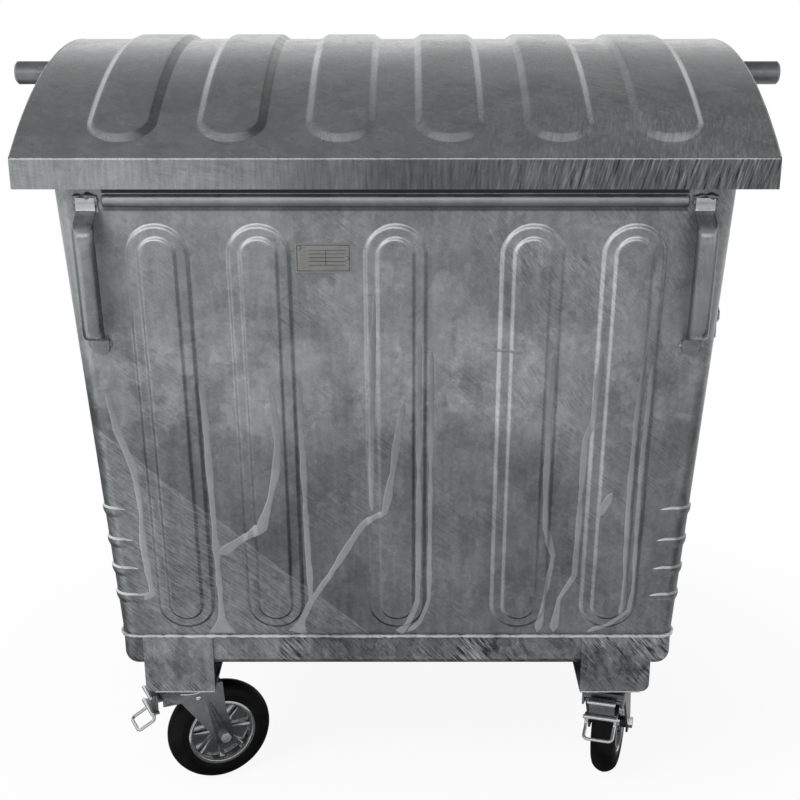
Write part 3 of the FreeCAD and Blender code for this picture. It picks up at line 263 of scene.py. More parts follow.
def tub_marks_and_painted_light(paint, shade):
    x, y, z = where(paint)
    right, _, up = facing(paint)
    front = step(-1.0 * y, 0.30, 0.36)
    right_half = step(x, -0.10, 0.10)
    left_half = 1.0 - right_half
    turned_right = front * step(right, 0.0, 0.30)
    turned_left = front * step(-1.0 * right, 0.10, 0.45)
    # Painted highlight on what faces up, painted shade on what faces down.
    painted_top_light = (1.35 * step(up, 0.02, 0.42) * (1.0 - (0.60 + 0.25 * right_half) * turned_right)
              - 0.40 * step(-1.0 * up, 0.22, 0.60))
    # Painted shade on the flanks turned right, on the left half of the wall.
    painted_flank_shade = front * step(right, 0.12, 0.50) * (1.0 - step(x, 0.06, 0.12))
    # Flanks turned left: a painted highlight on the right half, painted shade low on the left half.
    painted_left_flank_light = turned_left * (0.44 * right_half - 0.26 * left_half * (1.0 - step(z, 0.74, 0.98)))

    wobble = 0.008 * (grain(paint, 0.06) - 0.5)
    below = DIP_NORMAL_X * (x - DIP_POINT_X) + DIP_NORMAL_Z * (z - DIP_POINT_Z) + wobble
    dipped = step(below, 0.0, 0.003)
    pale = front * dipped
    edge = front * band(below, 0.0015, 0.0006, 0.0016)
    above = front * step(below, -0.20, -0.01) * (1.0 - dipped) * left_half
    low_lines = grain(paint, (0.026, 0.026, 0.0024), 2.0, turn=40.0, warp=0.4)

    drift = 0.24 * (grain(paint, 0.10) - 0.5)
    upper_right = front * step(x + drift, 0.04, 0.16) * step(z + drift, 0.66, 0.80)
    high_lines = grain(paint, (0.022, 0.022, 0.0030), 2.2, turn=57.0, warp=0.6)
    combed = step(grain(paint, (0.07, 0.07, 0.09)), 0.40, 0.62)
    # The wall darkens towards the bottom: painted shade.
    foot = 1.0 - step(z, 0.42, 1.00)

    bloom = step(grain(paint, (0.060, 0.060, 0.050), 5.0, roughness=0.66), 0.44, 0.56)
    middle = band(x, 0.02, 0.20, 0.12)
    wiped = front * band(z + 0.4 * drift, 0.825, 0.055, 0.080) * (bloom - 0.22 + 1.15 * middle)
    mottled = front * (grain(paint, 0.009, roughness=0.65) - 0.5)
    tall = front * (grain(paint, (0.016, 0.016, 0.22), 2.0) - 0.5)

    # Painted shadow in the gap under the lid above the front rim bar, and a painted shadow line
    # under the bar.
    bar_shadow_span = front * band(x, 0.0, BAR_SHADOW_HALF, 0.004)
    painted_bar_shadow = bar_shadow_span * (0.92 * step(z, BAR_SHADOW_ABOVE, BAR_SHADOW_ABOVE + 0.0014)
                         + 0.60 * band(z, BAR_SHADOW_BELOW, 0.0022, 0.0030))
    return (shade * (1.0 + painted_top_light - 0.32 * painted_flank_shade + painted_left_flank_light - 0.15 * above
                     + pale * (0.07 + 1.25 * (low_lines - 0.5))
                     + 1.2 * upper_right * combed * (high_lines - 0.5)
                     + 0.40 * tall + 0.24 * wiped + 0.45 * mottled - 0.32 * foot) * (1.0 - painted_bar_shadow)
            + 0.05 * edge)


def bar_painted_light(paint, shade):
    _, y, z = where(paint)
    # Painted highlight on the bars, and painted shade on the lower half of the front bar.
    lower = step(-1.0 * y, 0.0, 0.1) * (1.0 - step(z, 1.1145, 1.1270))
    return shade * (1.25 - 0.85 * lower)


def run_marks(paint, shade):
    _, _, z = where(paint)
    drift = 0.10 * (grain(paint, 0.05) - 0.5)
    return shade * (1.0 - 0.20 * step(z + drift, 0.62, 0.90))


def handle_tone_and_shade(paint, shade):
    _, _, z = where(paint)
    right, _, _ = facing(paint)
    # Painted shade on both edges of the strap.
    painted_edge_shade = step(abs(right), 0.30, 0.75)
    upper_tab = step(z, 1.102, 1.108)
    return shade * (1.0 + 0.7 * upper_tab) * (1.0 - 0.60 * painted_edge_shade)


tub_zinc = zinc("tub_zinc", 0.31, extra=tub_marks_and_painted_light)
bar_zinc = zinc("bar_zinc", 0.31, 0.6, extra=bar_painted_light)
pan_zinc = zinc("pan_zinc", 0.175, 2.7, 0.42, slant=50.0, hatch=3.4)
fitting_zinc = zinc("fitting_zinc", 0.24, 0.8, 0.36, slant=20.0)
handle_zinc = zinc("handle_zinc", 0.32, 0.6, 0.28, slant=80.0, metal=0.8, extra=handle_tone_and_shade)
print("zinc of the tub, its pan and its fittings")

# %% [markdown]
# ## The lid's zinc
#
# The lid is the palest sheet. Its apron is darkened as painted shade, and is light at the left and
# darker to the right as a painted reflection. At the right the zinc froze in steep feathery
# strokes.
# The strokes are a noise stretched along a steep slope, faded in from the middle to the right. The
# ribs at the left have painted shade on one side, drawn by the normal, and at the right a painted
# reflection runs along the crest as a brighter strip.

# %% The lid's zinc and the other zincs
APRON_FACE = 0.5175


def lid_marks_and_painted_light(paint, shade):
    x, y, _ = where(paint)
    turned_right, _, up = facing(paint)
    front = step(-1.0 * y, 0.30, 0.50)
    right = step(x + 0.10 * (grain(paint, 0.2, 2.0) - 0.5), -0.05, 0.42)
    strokes = grain(paint, (0.0034, 0.020, 0.055), 2.5, turn=16.0, warp=0.5)
    feather = step(strokes, 0.46, 0.74) - 0.6 * step(strokes, 0.44, 0.30)
    apron = step(-1.0 * y, APRON_FACE, APRON_FACE + 0.001)
    upright = grain(paint, (0.0040, 0.02, 0.060), 2.0)
    # left fades the apron's painted reflection in from the left end.
    left = 1.0 - step(x, -0.45, 0.10)
    # Painted shade on the flanks turned right of the ribs at the left.
    painted_flank_shade = step(turned_right, 0.10, 0.45) * step(up, 0.1, 0.2) * (1.0 - step(x, -0.20, -0.12))
    right_half = step(x, -0.05, 0.10)
    # Painted reflection: a brighter strip along the crest at the right, with painted shade just
    # below it.
    painted_crest_reflection = right_half * (0.12 * step(y, -0.122, -0.108) - 0.20 * band(y, -0.165, 0.040, 0.080))
    # The apron is darkened as painted shade, and lighter at the left as a painted reflection.
    return shade * (1.0 + 0.40 * front * right * feather - 0.45 * painted_flank_shade + painted_crest_reflection
                    + apron * (0.5 * (upright - 0.5) + 0.50 * left - 0.71))


lid_zinc = zinc("lid_zinc", 0.45, 0.55, 0.26, slant=12.0, metal=0.88, relief=0.05,
                extra=lid_marks_and_painted_light)
run_zinc = zinc("run_zinc", 0.385, 0.55, 0.42, extra=run_marks)
weld_zinc = zinc("weld_zinc", 0.53, 1.5, 0.34)
pin_zinc = zinc("pin_zinc", 0.20, 0.7, 0.36)
# The forks and pedals get a darker zinc than the other caster parts: painted shade.
fork_zinc = zinc("fork_zinc", 0.17, 0.9, 0.30, slant=65.0, metal=0.85)
bright_zinc = zinc("bright_zinc", 0.74, 0.4, 0.22, slant=65.0, metal=0.92)
bolt_zinc = zinc("bolt_zinc", 0.30, 0.6, 0.32)
print("zinc of the lid, welds, pins and casters")

# %% [markdown]
# ## Rubber, wheel metal and the type plate
#
# The tyres are black rubber, pitted by wear and dulled by patches of road dust. The wheel rims are
# bare die-cast metal. The type plate is brushed aluminium with nothing on it but ruled lines, which
# are drawn from the coordinates of the plate.

# %% Rubber, wheel metal, bush and plate
BLACK_RUBBER, DUSTY_RUBBER = (0.0025, 0.0025, 0.0028, 1.0), (0.011, 0.011, 0.0105, 1.0)
PLATE_INK, PLATE_METAL = (0.02, 0.02, 0.02, 1.0), (0.95, 0.95, 0.94, 1.0)
PLATE_ROWS = (0.0125, 0.0065, 0.0005, -0.0055, -0.0115)
PLATE_FRAME_X, PLATE_FRAME_Z = 0.0405, 0.0205


def rubber(name):
    paint = new_paint(name)
    dusty = step(grain(paint, 0.03, 4.0), 0.45, 0.75)
    fine = grain(paint, 0.0012, 2.0)
    worn = grain(paint, 0.008)
    colour = blend(0.55 * dusty + 0.25 * (fine - 0.4), BLACK_RUBBER, DUSTY_RUBBER)
    bump = paint.node("ShaderNodeBump", None,
                      {"Strength": 0.4, "Distance": 0.0005, "Height": 0.6 * fine + 0.6 * worn})
    paint.feed(Base_Color=colour, Roughness=0.50 + 0.25 * dusty, Normal=bump,
               Specular_IOR_Level=0.14)
    return paint.owner


def type_plate_metal(name, centre):
    paint = new_paint(name)
    x, _, z = where(paint)
    across, up = x - centre.x, z - centre.z
    lines = grain(paint, (0.020, 0.02, 0.0007), 2.0)
    rows = 0.0
    for height in PLATE_ROWS:
        rows = band(up, height, 0.0003, 0.0004) + rows
    rows = rows * band(across, 0.006, 0.028, 0.0005)
    upright = band(across, 0.004, 0.0003, 0.0004) * band(up, 0.0005, 0.012, 0.0005)
    frame_line = (band(abs(across), PLATE_FRAME_X, 0.0004, 0.0004)
                  * band(up, 0.0, PLATE_FRAME_Z, 0.0003)
                  + band(abs(up), PLATE_FRAME_Z, 0.0004, 0.0004)
                  * band(across, 0.0, PLATE_FRAME_X, 0.0003))
    ink = rows + upright + frame_line
    cloud = grain(paint, 0.02)
    shade = 0.36 + 0.24 * (lines - 0.5) + 0.18 * (cloud - 0.5) - 0.26 * ink
    colour = blend(shade, PLATE_INK, PLATE_METAL)
    paint.feed(Base_Color=colour, Roughness=0.34 + 0.2 * (lines - 0.5) + 0.2 * ink, Metallic=0.9)
    return paint.owner


tyre_rubber = rubber("tyre_rubber")
wheel_metal = zinc("wheel_metal", 0.39, 0.6, 0.15, slant=0.0, metal=0.92)
flange_metal = zinc("flange_metal", 0.52, 0.5, 0.18, slant=0.0, metal=0.92)
plate_low, plate_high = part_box("type_plate")
plate_metal = type_plate_metal("type_plate_metal", (plate_low + plate_high) / 2)
bush_dark = zinc("bush_dark", 0.07, 0.6, 0.5)
print("rubber, wheel metal, plate:", [round(c, 3) for c in (plate_high - plate_low)])

# %% [markdown]
# ## A finish for every CAD node
#
# Most CAD nodes are the right shape already and only need their finish. The name of a node says
# what it is made of, so a table from the start of a name to a paint covers all of them. The first
# row that fits is used, so the longer of two like names comes first.

# %% Paint the CAD nodes
FINISHES = [
    ("front_wall", tub_zinc), ("rear_wall", tub_zinc), ("side_wall", tub_zinc),
    ("rim_bar", bar_zinc), ("floor_pan", pan_zinc), ("caster_bracket", pan_zinc),
    ("handle", handle_zinc), ("type_plate_rivets", bolt_zinc), ("type_plate", plate_metal),
    ("trunnion_plate", fitting_zinc), ("trunnion", pin_zinc),
    ("lid_pivot_bracket", fitting_zinc), ("lid_pivot_bolt", bolt_zinc),
    ("lid_pivot_bush", bush_dark), ("lid_arm", fitting_zinc), ("lid", lid_zinc),
    ("caster_bolts", bolt_zinc), ("caster_fork", fork_zinc), ("caster", bright_zinc),
    ("wheel_axle", bright_zinc), ("wheel_bearing", bush_dark), ("wheel_rim", wheel_metal),
    ("tyre", tyre_rubber), ("brake_pedal", fork_zinc), ("brake", bright_zinc),
]


def finish_of(name):
    return next(paint for start, paint in FINISHES if name.startswith(start))


for name, node in nodes.items():
    node.data.materials.clear()
    node.data.materials.append(finish_of(name))
print("finished nodes:", len(nodes))


# %% [markdown]
# ## Tools for modelling
#
# An operator works on whatever is selected, and the loaded nodes are selected too. So each piece
# starts from an empty selection, and vertices are then chosen by a test on their place. settle ends
# each piece: its place goes into its mesh, and it gets its smoothing, finish and body.

# %% Selecting, joining and settling
def clear_selection():
    if bpy.context.mode != "OBJECT":
        bpy.ops.object.mode_set(mode="OBJECT")
    bpy.ops.object.select_all(action="DESELECT")


def take(*pieces):
    clear_selection()
    for piece in pieces:
        piece.select_set(True)
    bpy.context.view_layer.objects.active = pieces[0]
    return pieces[0]


def edit(piece):
    take(piece)
    bpy.ops.object.mode_set(mode="EDIT")
    bpy.ops.mesh.select_mode(type="VERT")
    bpy.ops.mesh.select_all(action="SELECT")


def choose(test):
    data = bpy.context.edit_object.data
    mesh = bmesh.from_edit_mesh(data)
    bpy.ops.mesh.select_all(action="DESELECT")
    for vert in mesh.verts:
        if test(vert.co):
            vert.select_set(True)
    bmesh.update_edit_mesh(data)


def twin(piece, name, matrix):
    copy = piece.copy()
    copy.data = piece.data.copy()
    copy.name = name
    bpy.context.scene.collection.objects.link(copy)
    copy.matrix_world = matrix @ piece.matrix_world
    return copy


def joined(name, pieces):
    whole = take(*pieces)
    if len(pieces) > 1:
        bpy.ops.object.join()
    whole.name = name
    bpy.ops.object.transform_apply()
    return whole


def settle(piece, body, paint, angle=40.0):
    take(piece)
    bpy.ops.object.transform_apply()
    bpy.ops.object.shade_smooth_by_angle(angle=math.radians(angle))
    piece.data.materials.clear()
    piece.data.materials.append(paint)
    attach(piece, body)
    print(piece.name, "on", body, len(piece.data.polygons), "faces")
    return piece


def modify(piece, kind, **settings):
    take(piece)
    modifier = piece.modifiers.new(kind.title(), kind)
    for name, value in settings.items():
        setattr(modifier, name, value)
    bpy.ops.object.modifier_apply(modifier=modifier.name)


def new_grid(name, columns, rows):
    clear_selection()
    bpy.ops.mesh.primitive_grid_add(x_subdivisions=columns, y_subdivisions=rows, size=1)
    piece = bpy.context.object
    piece.name = name
    return piece


def drop(piece):
    bpy.data.objects.remove(piece, do_unlink=True)


# %% [markdown]
# ## Where the walls are
#
# Each wall leans outwards, so a press mark is easiest to model lying flat and then to stand up with
# one matrix: X along the wall, Y up the wall from the weld line, Z straight out of the sheet.

# %% Frames of the four walls
BASE_HEIGHT, RIM_HEIGHT, REAR_RIM_HEIGHT = 0.345, 1.150, 1.110
BASE_LENGTH, BASE_DEPTH, CORNER_RADIUS = 0.489, 0.380, 0.025
RIM_LENGTH, RIM_DEPTH, REAR_RIM_DEPTH = 0.5205, 0.486, 0.455
FRONT_SLOPE = (RIM_DEPTH - BASE_DEPTH) / (RIM_HEIGHT - BASE_HEIGHT)
REAR_SLOPE = (REAR_RIM_DEPTH - BASE_DEPTH) / (REAR_RIM_HEIGHT - BASE_HEIGHT)
SIDE_SLOPE = (RIM_LENGTH - BASE_LENGTH) / (RIM_HEIGHT - BASE_HEIGHT)
HALF_TURN = Matrix.Rotation(math.pi, 4, "Z")


def wall_frame(distance, slope):
    return (Matrix.Translation((0.0, -distance, BASE_HEIGHT))
            @ Matrix.Rotation(math.pi / 2 + math.atan(slope), 4, "X"))


FRONT = wall_frame(BASE_DEPTH, FRONT_SLOPE)
REAR = HALF_TURN @ wall_frame(BASE_DEPTH, REAR_SLOPE)
RIGHT = Matrix.Rotation(math.pi / 2, 4, "Z") @ wall_frame(BASE_LENGTH, SIDE_SLOPE)
LEFT = HALF_TURN @ RIGHT
print("front wall leans", round(math.degrees(math.atan(FRONT_SLOPE)), 2), "degrees")

# %% [markdown]
# ## Pressed ribs of the walls
#
# Each rib is a stadium pressed out in two steps, and no edge of it is sharp, because sheet takes a
# radius in the press. One rib is a disc stretched at its upper and lower half, then inset again and
# again, each inset a little higher. The insets follow the section of the pressing, as pairs of
# distance inwards and height in millimetres. The outermost ring lies just under the sheet, so no
# gap shows.

# %% One rib, copied to all four walls
WALL_RIB = [(-7, -0.3), (-5, -0.05), (-3.4, 0.45), (-1.9, 1.4), (-0.6, 2.6), (0.6, 3.5),
            (2.2, 4.2), (4, 4.4), (12, 4.4), (14, 4.55), (15.6, 5.0), (17, 5.9), (18.2, 7.0),
            (19.4, 7.8), (21, 8.3), (23.5, 8.4)]
WALL_RIB_WIDTH, RIB_CORNERS = 92, 62
FRONT_RIB_LENGTH, FRONT_RIB_MIDDLE = 727, 382.5
REAR_RIB_LENGTH, REAR_RIB_MIDDLE = 687, 362.5
SIDE_RIB_LENGTH, SIDE_RIB_MIDDLE = 640, 339
RIB_PLACES, SIDE_RIB_PLACES = (-369, -212, 0, 212, 369), (-200, 200)


def pressed_rib(name, width, length, section):
    clear_selection()
    bpy.ops.mesh.primitive_circle_add(vertices=RIB_CORNERS, radius=(width / 2 - section[0][0]) * MM,
                                      fill_type="NGON", location=(0, 0, section[0][1] * MM))
    rib = bpy.context.object
    rib.name = name
    bpy.ops.object.transform_apply(location=True)
    edit(rib)
    half = (length - width) / 2 * MM
    for way in (1, -1):
        choose(lambda place: place.y * way > 0)
        bpy.ops.transform.translate(value=(0, half * way, 0))
    bpy.ops.mesh.select_mode(type="FACE")
    bpy.ops.mesh.select_all(action="SELECT")
    for (inward, low), (further, high) in zip(section, section[1:]):
        bpy.ops.mesh.inset(thickness=(further - inward) * MM, depth=(high - low) * MM)
    clear_selection()
    return rib


def rib_row(name, frame_matrix, places, length, middle):
    pattern = pressed_rib(name + "_pattern", WALL_RIB_WIDTH, length, WALL_RIB)
    row = [twin(pattern, name, frame_matrix @ Matrix.Translation((place * MM, middle * MM, 0)))
           for place in places]
    drop(pattern)
    settle(joined(name, row), "tub", tub_zinc, 60)


rib_row("front_ribs", FRONT, RIB_PLACES, FRONT_RIB_LENGTH, FRONT_RIB_MIDDLE)
rib_row("rear_ribs", REAR, RIB_PLACES, REAR_RIB_LENGTH, REAR_RIB_MIDDLE)
rib_row("right_ribs", RIGHT, SIDE_RIB_PLACES, SIDE_RIB_LENGTH, SIDE_RIB_MIDDLE)
rib_row("left_ribs", LEFT, SIDE_RIB_PLACES, SIDE_RIB_LENGTH, SIDE_RIB_MIDDLE)

# %% [markdown]
# ## Pressed ribs of the lid
#
# The lid's ribs have one step with a straight flank and run over the crown. They are modelled flat
# like the others, cut into strips with bisect so that they can curve, and then each vertex is laid
# over the crown: its distance along the rib becomes an angle about the lid's axis.

# %% Six ribs laid over the crown
LID_RIB = [(-8, -0.3), (-6.4, -0.1), (-5, 0.12), (-4.2, 0.35), (-3.4, 0.75), (-0.4, 2.75),
           (2.6, 4.75), (5.6, 6.75), (6.6, 7.3), (7.8, 7.72), (9.4, 7.96), (12, 8.03), (18, 8.03)]
LID_RADIUS, LID_AXIS, LID_TOP = 1.020, 0.314, 1.342
LID_RIB_WIDTH, LID_RIB_REACH = 98, 0.438
LID_RIB_PLACES = (-415, -249, -83, 83, 249, 415)
LID_BAND = math.asin(LID_RIB_REACH / LID_RADIUS)
LID_STRIPS, LID_STRIP = 44, 0.01025


def over_crown(place):
    along, height = place.y, place.z
    swing = max(-LID_BAND, min(LID_BAND, along / LID_RADIUS))
    rest = along - swing * LID_RADIUS
    sag = rest * rest / (2 * LID_RADIUS) * (1 - min(1.0, height / 0.004))
    out = LID_RADIUS + height - sag
    top = LID_AXIS + math.cos(swing) * out - math.sin(swing) * rest
    return Vector((place.x, math.sin(swing) * out + math.cos(swing) * rest, min(top, LID_TOP)))


lid_rib_length = 2 * LID_BAND * LID_RADIUS / MM + LID_RIB_WIDTH
lid_rib = pressed_rib("lid_rib_pattern", LID_RIB_WIDTH, lid_rib_length, LID_RIB)
edit(lid_rib)
for number in range(-LID_STRIPS, LID_STRIPS + 1):
    bpy.ops.mesh.select_all(action="SELECT")
    bpy.ops.mesh.bisect(plane_co=(0, number * LID_STRIP, 0), plane_no=(0, 1, 0))
clear_selection()
lid_rib_row = []
for place in LID_RIB_PLACES:
    rib = twin(lid_rib, "lid_ribs", Matrix.Translation((place * MM, 0, 0)))
    take(rib)
    bpy.ops.object.transform_apply(location=True)
    for vert in rib.data.vertices:
        vert.co = over_crown(vert.co)
    lid_rib_row.append(rib)
drop(lid_rib)
settle(joined("lid_ribs", lid_rib_row), "lid", lid_zinc, 60)


# %% [markdown]
# ## Beads round the lower corners
#
# Four short beads stiffen each lower corner. Each is a grid wrapped round the corner: across it the
# section rises steeply above and gently below, and along it the bead fades into the flat walls at
# both ends. At the left the upper beads are shorter.

# %% Corner beads
BEADS = ((0.588, 0.024), (0.528, 0.029), (0.472, 0.032), (0.418, 0.036))
RIGHT_BEAD_REACH = 0.036
BEAD_RISE, BEAD_SINK, BEAD_HALF, BEAD_FADE = 0.0036, 0.0005, 0.0135, 0.030


def corner_point(run, height):
    side = BASE_LENGTH + (height - BASE_HEIGHT) * SIDE_SLOPE - CORNER_RADIUS
    deep = BASE_DEPTH + (height - BASE_HEIGHT) * FRONT_SLOPE - CORNER_RADIUS
    turn = max(0.0, min(math.pi / 2, run / CORNER_RADIUS))
    rest = run - turn * CORNER_RADIUS
    out = Vector((math.sin(turn), -math.cos(turn), 0))
    way = Vector((math.cos(turn), math.sin(turn), 0))
    return Vector((side, -deep, height)) + out * CORNER_RADIUS + way * rest, out


def eased(share):
    share = max(0.0, min(1.0, share))
    return share * share * (3 - 2 * share)


def corner_bead(name, height, reach, lean_x, lean_y, depth_factor):
    bead = new_grid(name, 40, 24)
    quarter = CORNER_RADIUS * math.pi / 2
    for vert in bead.data.vertices:
        run = -reach + (vert.co.x + 0.5) * (quarter + 2 * reach)
        across = vert.co.y * 2
        fade = eased(min(run + reach, quarter + reach - run) / BEAD_FADE)
        rise = BEAD_RISE * fade * eased(min((0.96 - across) / 0.34, (0.96 + across) / 1.20))
        spot, out = corner_point(run, height + across * BEAD_HALF * (0.55 + 0.45 * fade))
        spot += out * (rise - BEAD_SINK)
        spot.y *= depth_factor
        vert.co = Vector((spot.x * lean_x, spot.y * lean_y, spot.z))
    if lean_x * lean_y < 0:
        edit(bead)
        bpy.ops.mesh.flip_normals()
        clear_selection()
    return bead


def rear_factor(height):
    return ((BASE_DEPTH + (height - BASE_HEIGHT) * REAR_SLOPE)
            / (BASE_DEPTH + (height - BASE_HEIGHT) * FRONT_SLOPE))


beads = []
for height, left_reach in BEADS:
    for lean_x, reach in ((-1, left_reach), (1, RIGHT_BEAD_REACH)):
        for lean_y in (-1, 1):
            factor = rear_factor(height) if lean_y < 0 else 1.0
            beads.append(corner_bead("corner_beads", height, reach, lean_x, lean_y, factor))
settle(joined("corner_beads", beads), "tub", tub_zinc, 60)


# %% [markdown]
# ## Weld beads
#
# A weld is a lumpy rope of metal. A path with a round section whose radius wanders from point to
# point is the quickest true likeness, and it is turned into a mesh when it is done. The places of
# the points feed a noise with a set seed, so the lumps are the same at every run.

# %% Paths, lumps and the weld round the base
LUMP_SEED = 7
noise.seed_set(LUMP_SEED)


def walked(points, pace):
    spots = []
    for start, end in zip(points, points[1:]):
        count = max(1, round((end - start).length / pace))
        spots += [start.lerp(end, number / count) for number in range(count)]
    return spots + [points[-1]]


def weld(name, routes, radius, lump, pace=0.004):
    clear_selection()
    bpy.ops.curve.primitive_nurbs_path_add(location=(0, 0, 0))
    path = bpy.context.object
    path.name = name
    curve = path.data
    curve.splines.clear()
    curve.dimensions = "3D"
    curve.bevel_depth = 1.0
    curve.bevel_resolution = 2
    curve.use_fill_caps = True
    for route in routes:
        spots = walked([Vector(spot) for spot in route], pace)
        spline = curve.splines.new("POLY")
        spline.points.add(len(spots) - 1)
        for point, spot in zip(spline.points, spots):
            drift = noise.noise_vector(spot * 90) * radius * lump * 0.6
            point.co = (*(spot + drift), 1)
            point.radius = radius * (1 + lump * 1.6 * noise.noise(spot * 140))
    take(path)
    bpy.ops.object.convert(target="MESH")
    return bpy.context.object


def base_ring(height, out):
    spots = []
    for lean_x, lean_y, first in ((1, -1, -90), (1, 1, 0), (-1, 1, 90), (-1, -1, 180)):
        for number in range(9):
            turn = math.radians(first + number * 11.25)
            x = (BASE_LENGTH - CORNER_RADIUS) * lean_x + math.cos(turn) * (CORNER_RADIUS + out)
            y = (BASE_DEPTH - CORNER_RADIUS) * lean_y + math.sin(turn) * (CORNER_RADIUS + out)
            spots.append((x, y, height))
    return spots + spots[:1]


WELD_HEIGHT, WELD_OUT, WELD_RADIUS = 0.3420, 0.0022, 0.0032
settle(weld("base_weld", [base_ring(WELD_HEIGHT, WELD_OUT)], WELD_RADIUS, 0.34),
       "tub", weld_zinc, 70)

# %% [markdown]
# ## Strap handles
#
# The two handles are bent from strap, crowned across, with a tab at each end welded to the wall. A
# grid is laid along the bends, listed as millimetres up the strap and out of the wall. Solidify
# gives it its thickness, and Bevel rounds it. Each handle takes the place of its plain CAD strap.

# %% Handles and their welds
HALF_HANDLE = [(0, 3), (8, 3), (17, 3), (21.5, 4.2), (24.5, 8), (27.5, 15), (31, 25), (34.5, 35),
               (38, 41.5), (43, 46), (50, 48.3), (60, 49), (90, 49), (126, 49)]
HANDLE_LENGTH, HANDLE_HALF, HANDLE_CROWN, TAB_OUT, GRIP_OUT = 252, 15, 8.0, 3, 49
HANDLE_PLACE, HANDLE_FOOT = 470, 540
HANDLE_BENDS = HALF_HANDLE + [(HANDLE_LENGTH - along, out)
                              for along, out in reversed(HALF_HANDLE[:-1])]


def strap_handle(name, place):
    strap = new_grid(name, 14, len(HANDLE_BENDS) - 1)
    for vert in strap.data.vertices:
        row = round((vert.co.y + 0.5) * (len(HANDLE_BENDS) - 1))
        along, out = HANDLE_BENDS[row]
        side = vert.co.x * 2
        grip = max(0.0, min(1.0, (out - TAB_OUT) / (GRIP_OUT - TAB_OUT)))
        tab = 1.0 - 0.22 * max(0.0, 1 - along / 9) * side * side
        crown = (HANDLE_CROWN * grip + 0.3) * side ** 4
        vert.co = Vector((place + side * HANDLE_HALF * tab, HANDLE_FOOT + along, out - crown)) * MM
    modify(strap, "SOLIDIFY", thickness=0.0058, offset=0.0)
    modify(strap, "BEVEL", width=0.0016, segments=3, limit_method="ANGLE",
           angle_limit=math.radians(40))
    strap.matrix_world = FRONT
    settle(strap, "tub", handle_zinc, 50)
    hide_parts(name.replace("_strap", ""))


TAB_WELDS = [
    [(-16, 771, 1.5), (-16.5, 782, 2), (-16, 792, 2), (-8, 794, 2), (8, 794, 2), (16, 792, 2),
     (16.5, 782, 2), (16, 771, 1.5)],
    [(15.5, 558, 1), (16, 548, 1), (13, 541, 1)],
    [(-15.5, 558, 1), (-16, 550, 1)],
]
handle_welds = []
for side, place in (("left", -HANDLE_PLACE), ("right", HANDLE_PLACE)):
    strap_handle("handle_front_%s_strap" % side, place)
    handle_welds += [[FRONT @ (Vector((place + along, up, out)) * MM) for along, up, out in route]
                     for route in TAB_WELDS]
settle(weld("handle_welds", handle_welds, 0.0031, 0.9, 0.0025), "tub", fitting_zinc, 70)


# %% [markdown]
# ## Zinc runs
#
# When the tub was lifted out, zinc drained down the front in flat pale bands and froze. Each band
# is a thin grid that follows a drawn line on the wall, and a few spread at the foot. A band climbs
# over the ribs as the zinc did, so the height of the rib under each point is looked up in the rib's
# own section. A run is listed by its width, the points of its line, and how much it spreads.

# %% Runs on the front wall
RUN_RISE, RUN_SINK, RUN_PACE = 0.90, 0.25, 3.0


def rib_height(along, up):
    best = 0.0
    straight = (FRONT_RIB_LENGTH - WALL_RIB_WIDTH) / 2
    rest = max(0.0, abs(up - FRONT_RIB_MIDDLE) - straight)
    for place in RIB_PLACES:
        inward = WALL_RIB_WIDTH / 2 - math.hypot(along - place, rest)
        if inward <= WALL_RIB[0][0]:
            continue
        for (start, low), (end, high) in zip(WALL_RIB, WALL_RIB[1:]):
            if start <= inward <= end:
                best = max(best, low + (high - low) * (inward - start) / (end - start))
        if inward > WALL_RIB[-1][0]:
            best = WALL_RIB[-1][1]
    return best


def zinc_run(name, route, width, flare=0.0):
    spots = walked([Vector((along, up, 0)) for along, up in route], RUN_PACE)
    last = len(spots) - 1
    ways = [(spots[min(row + 1, last)] - spots[max(row - 1, 0)]).normalized()
            for row in range(len(spots))]
    run = new_grid(name, 12, last)
    for vert in run.data.vertices:
        row = round((vert.co.y + 0.5) * last)
        side = vert.co.x * 2
        spot, way = spots[row], ways[row]
        to_go = last - row
        end = min(1.0, ((row if flare else min(row, to_go)) + 0.6) / 4)
        foot = 1.0 + flare * max(0.0, 1.0 - to_go / 12) ** 2
        half = width / 2 * (1.0 + 0.6 * noise.noise(spot * 0.02)) * end * foot
        across = Vector((way.y, -way.x, 0)) * side * half
        spot = spot + across + noise.noise_vector(spot * 0.06) * 0.8
        rise = RUN_RISE * (1 - side ** 4) - RUN_SINK
        vert.co = Vector((spot.x, spot.y, rib_height(spot.x, spot.y) + rise)) * MM
    run.matrix_world = FRONT
    return run


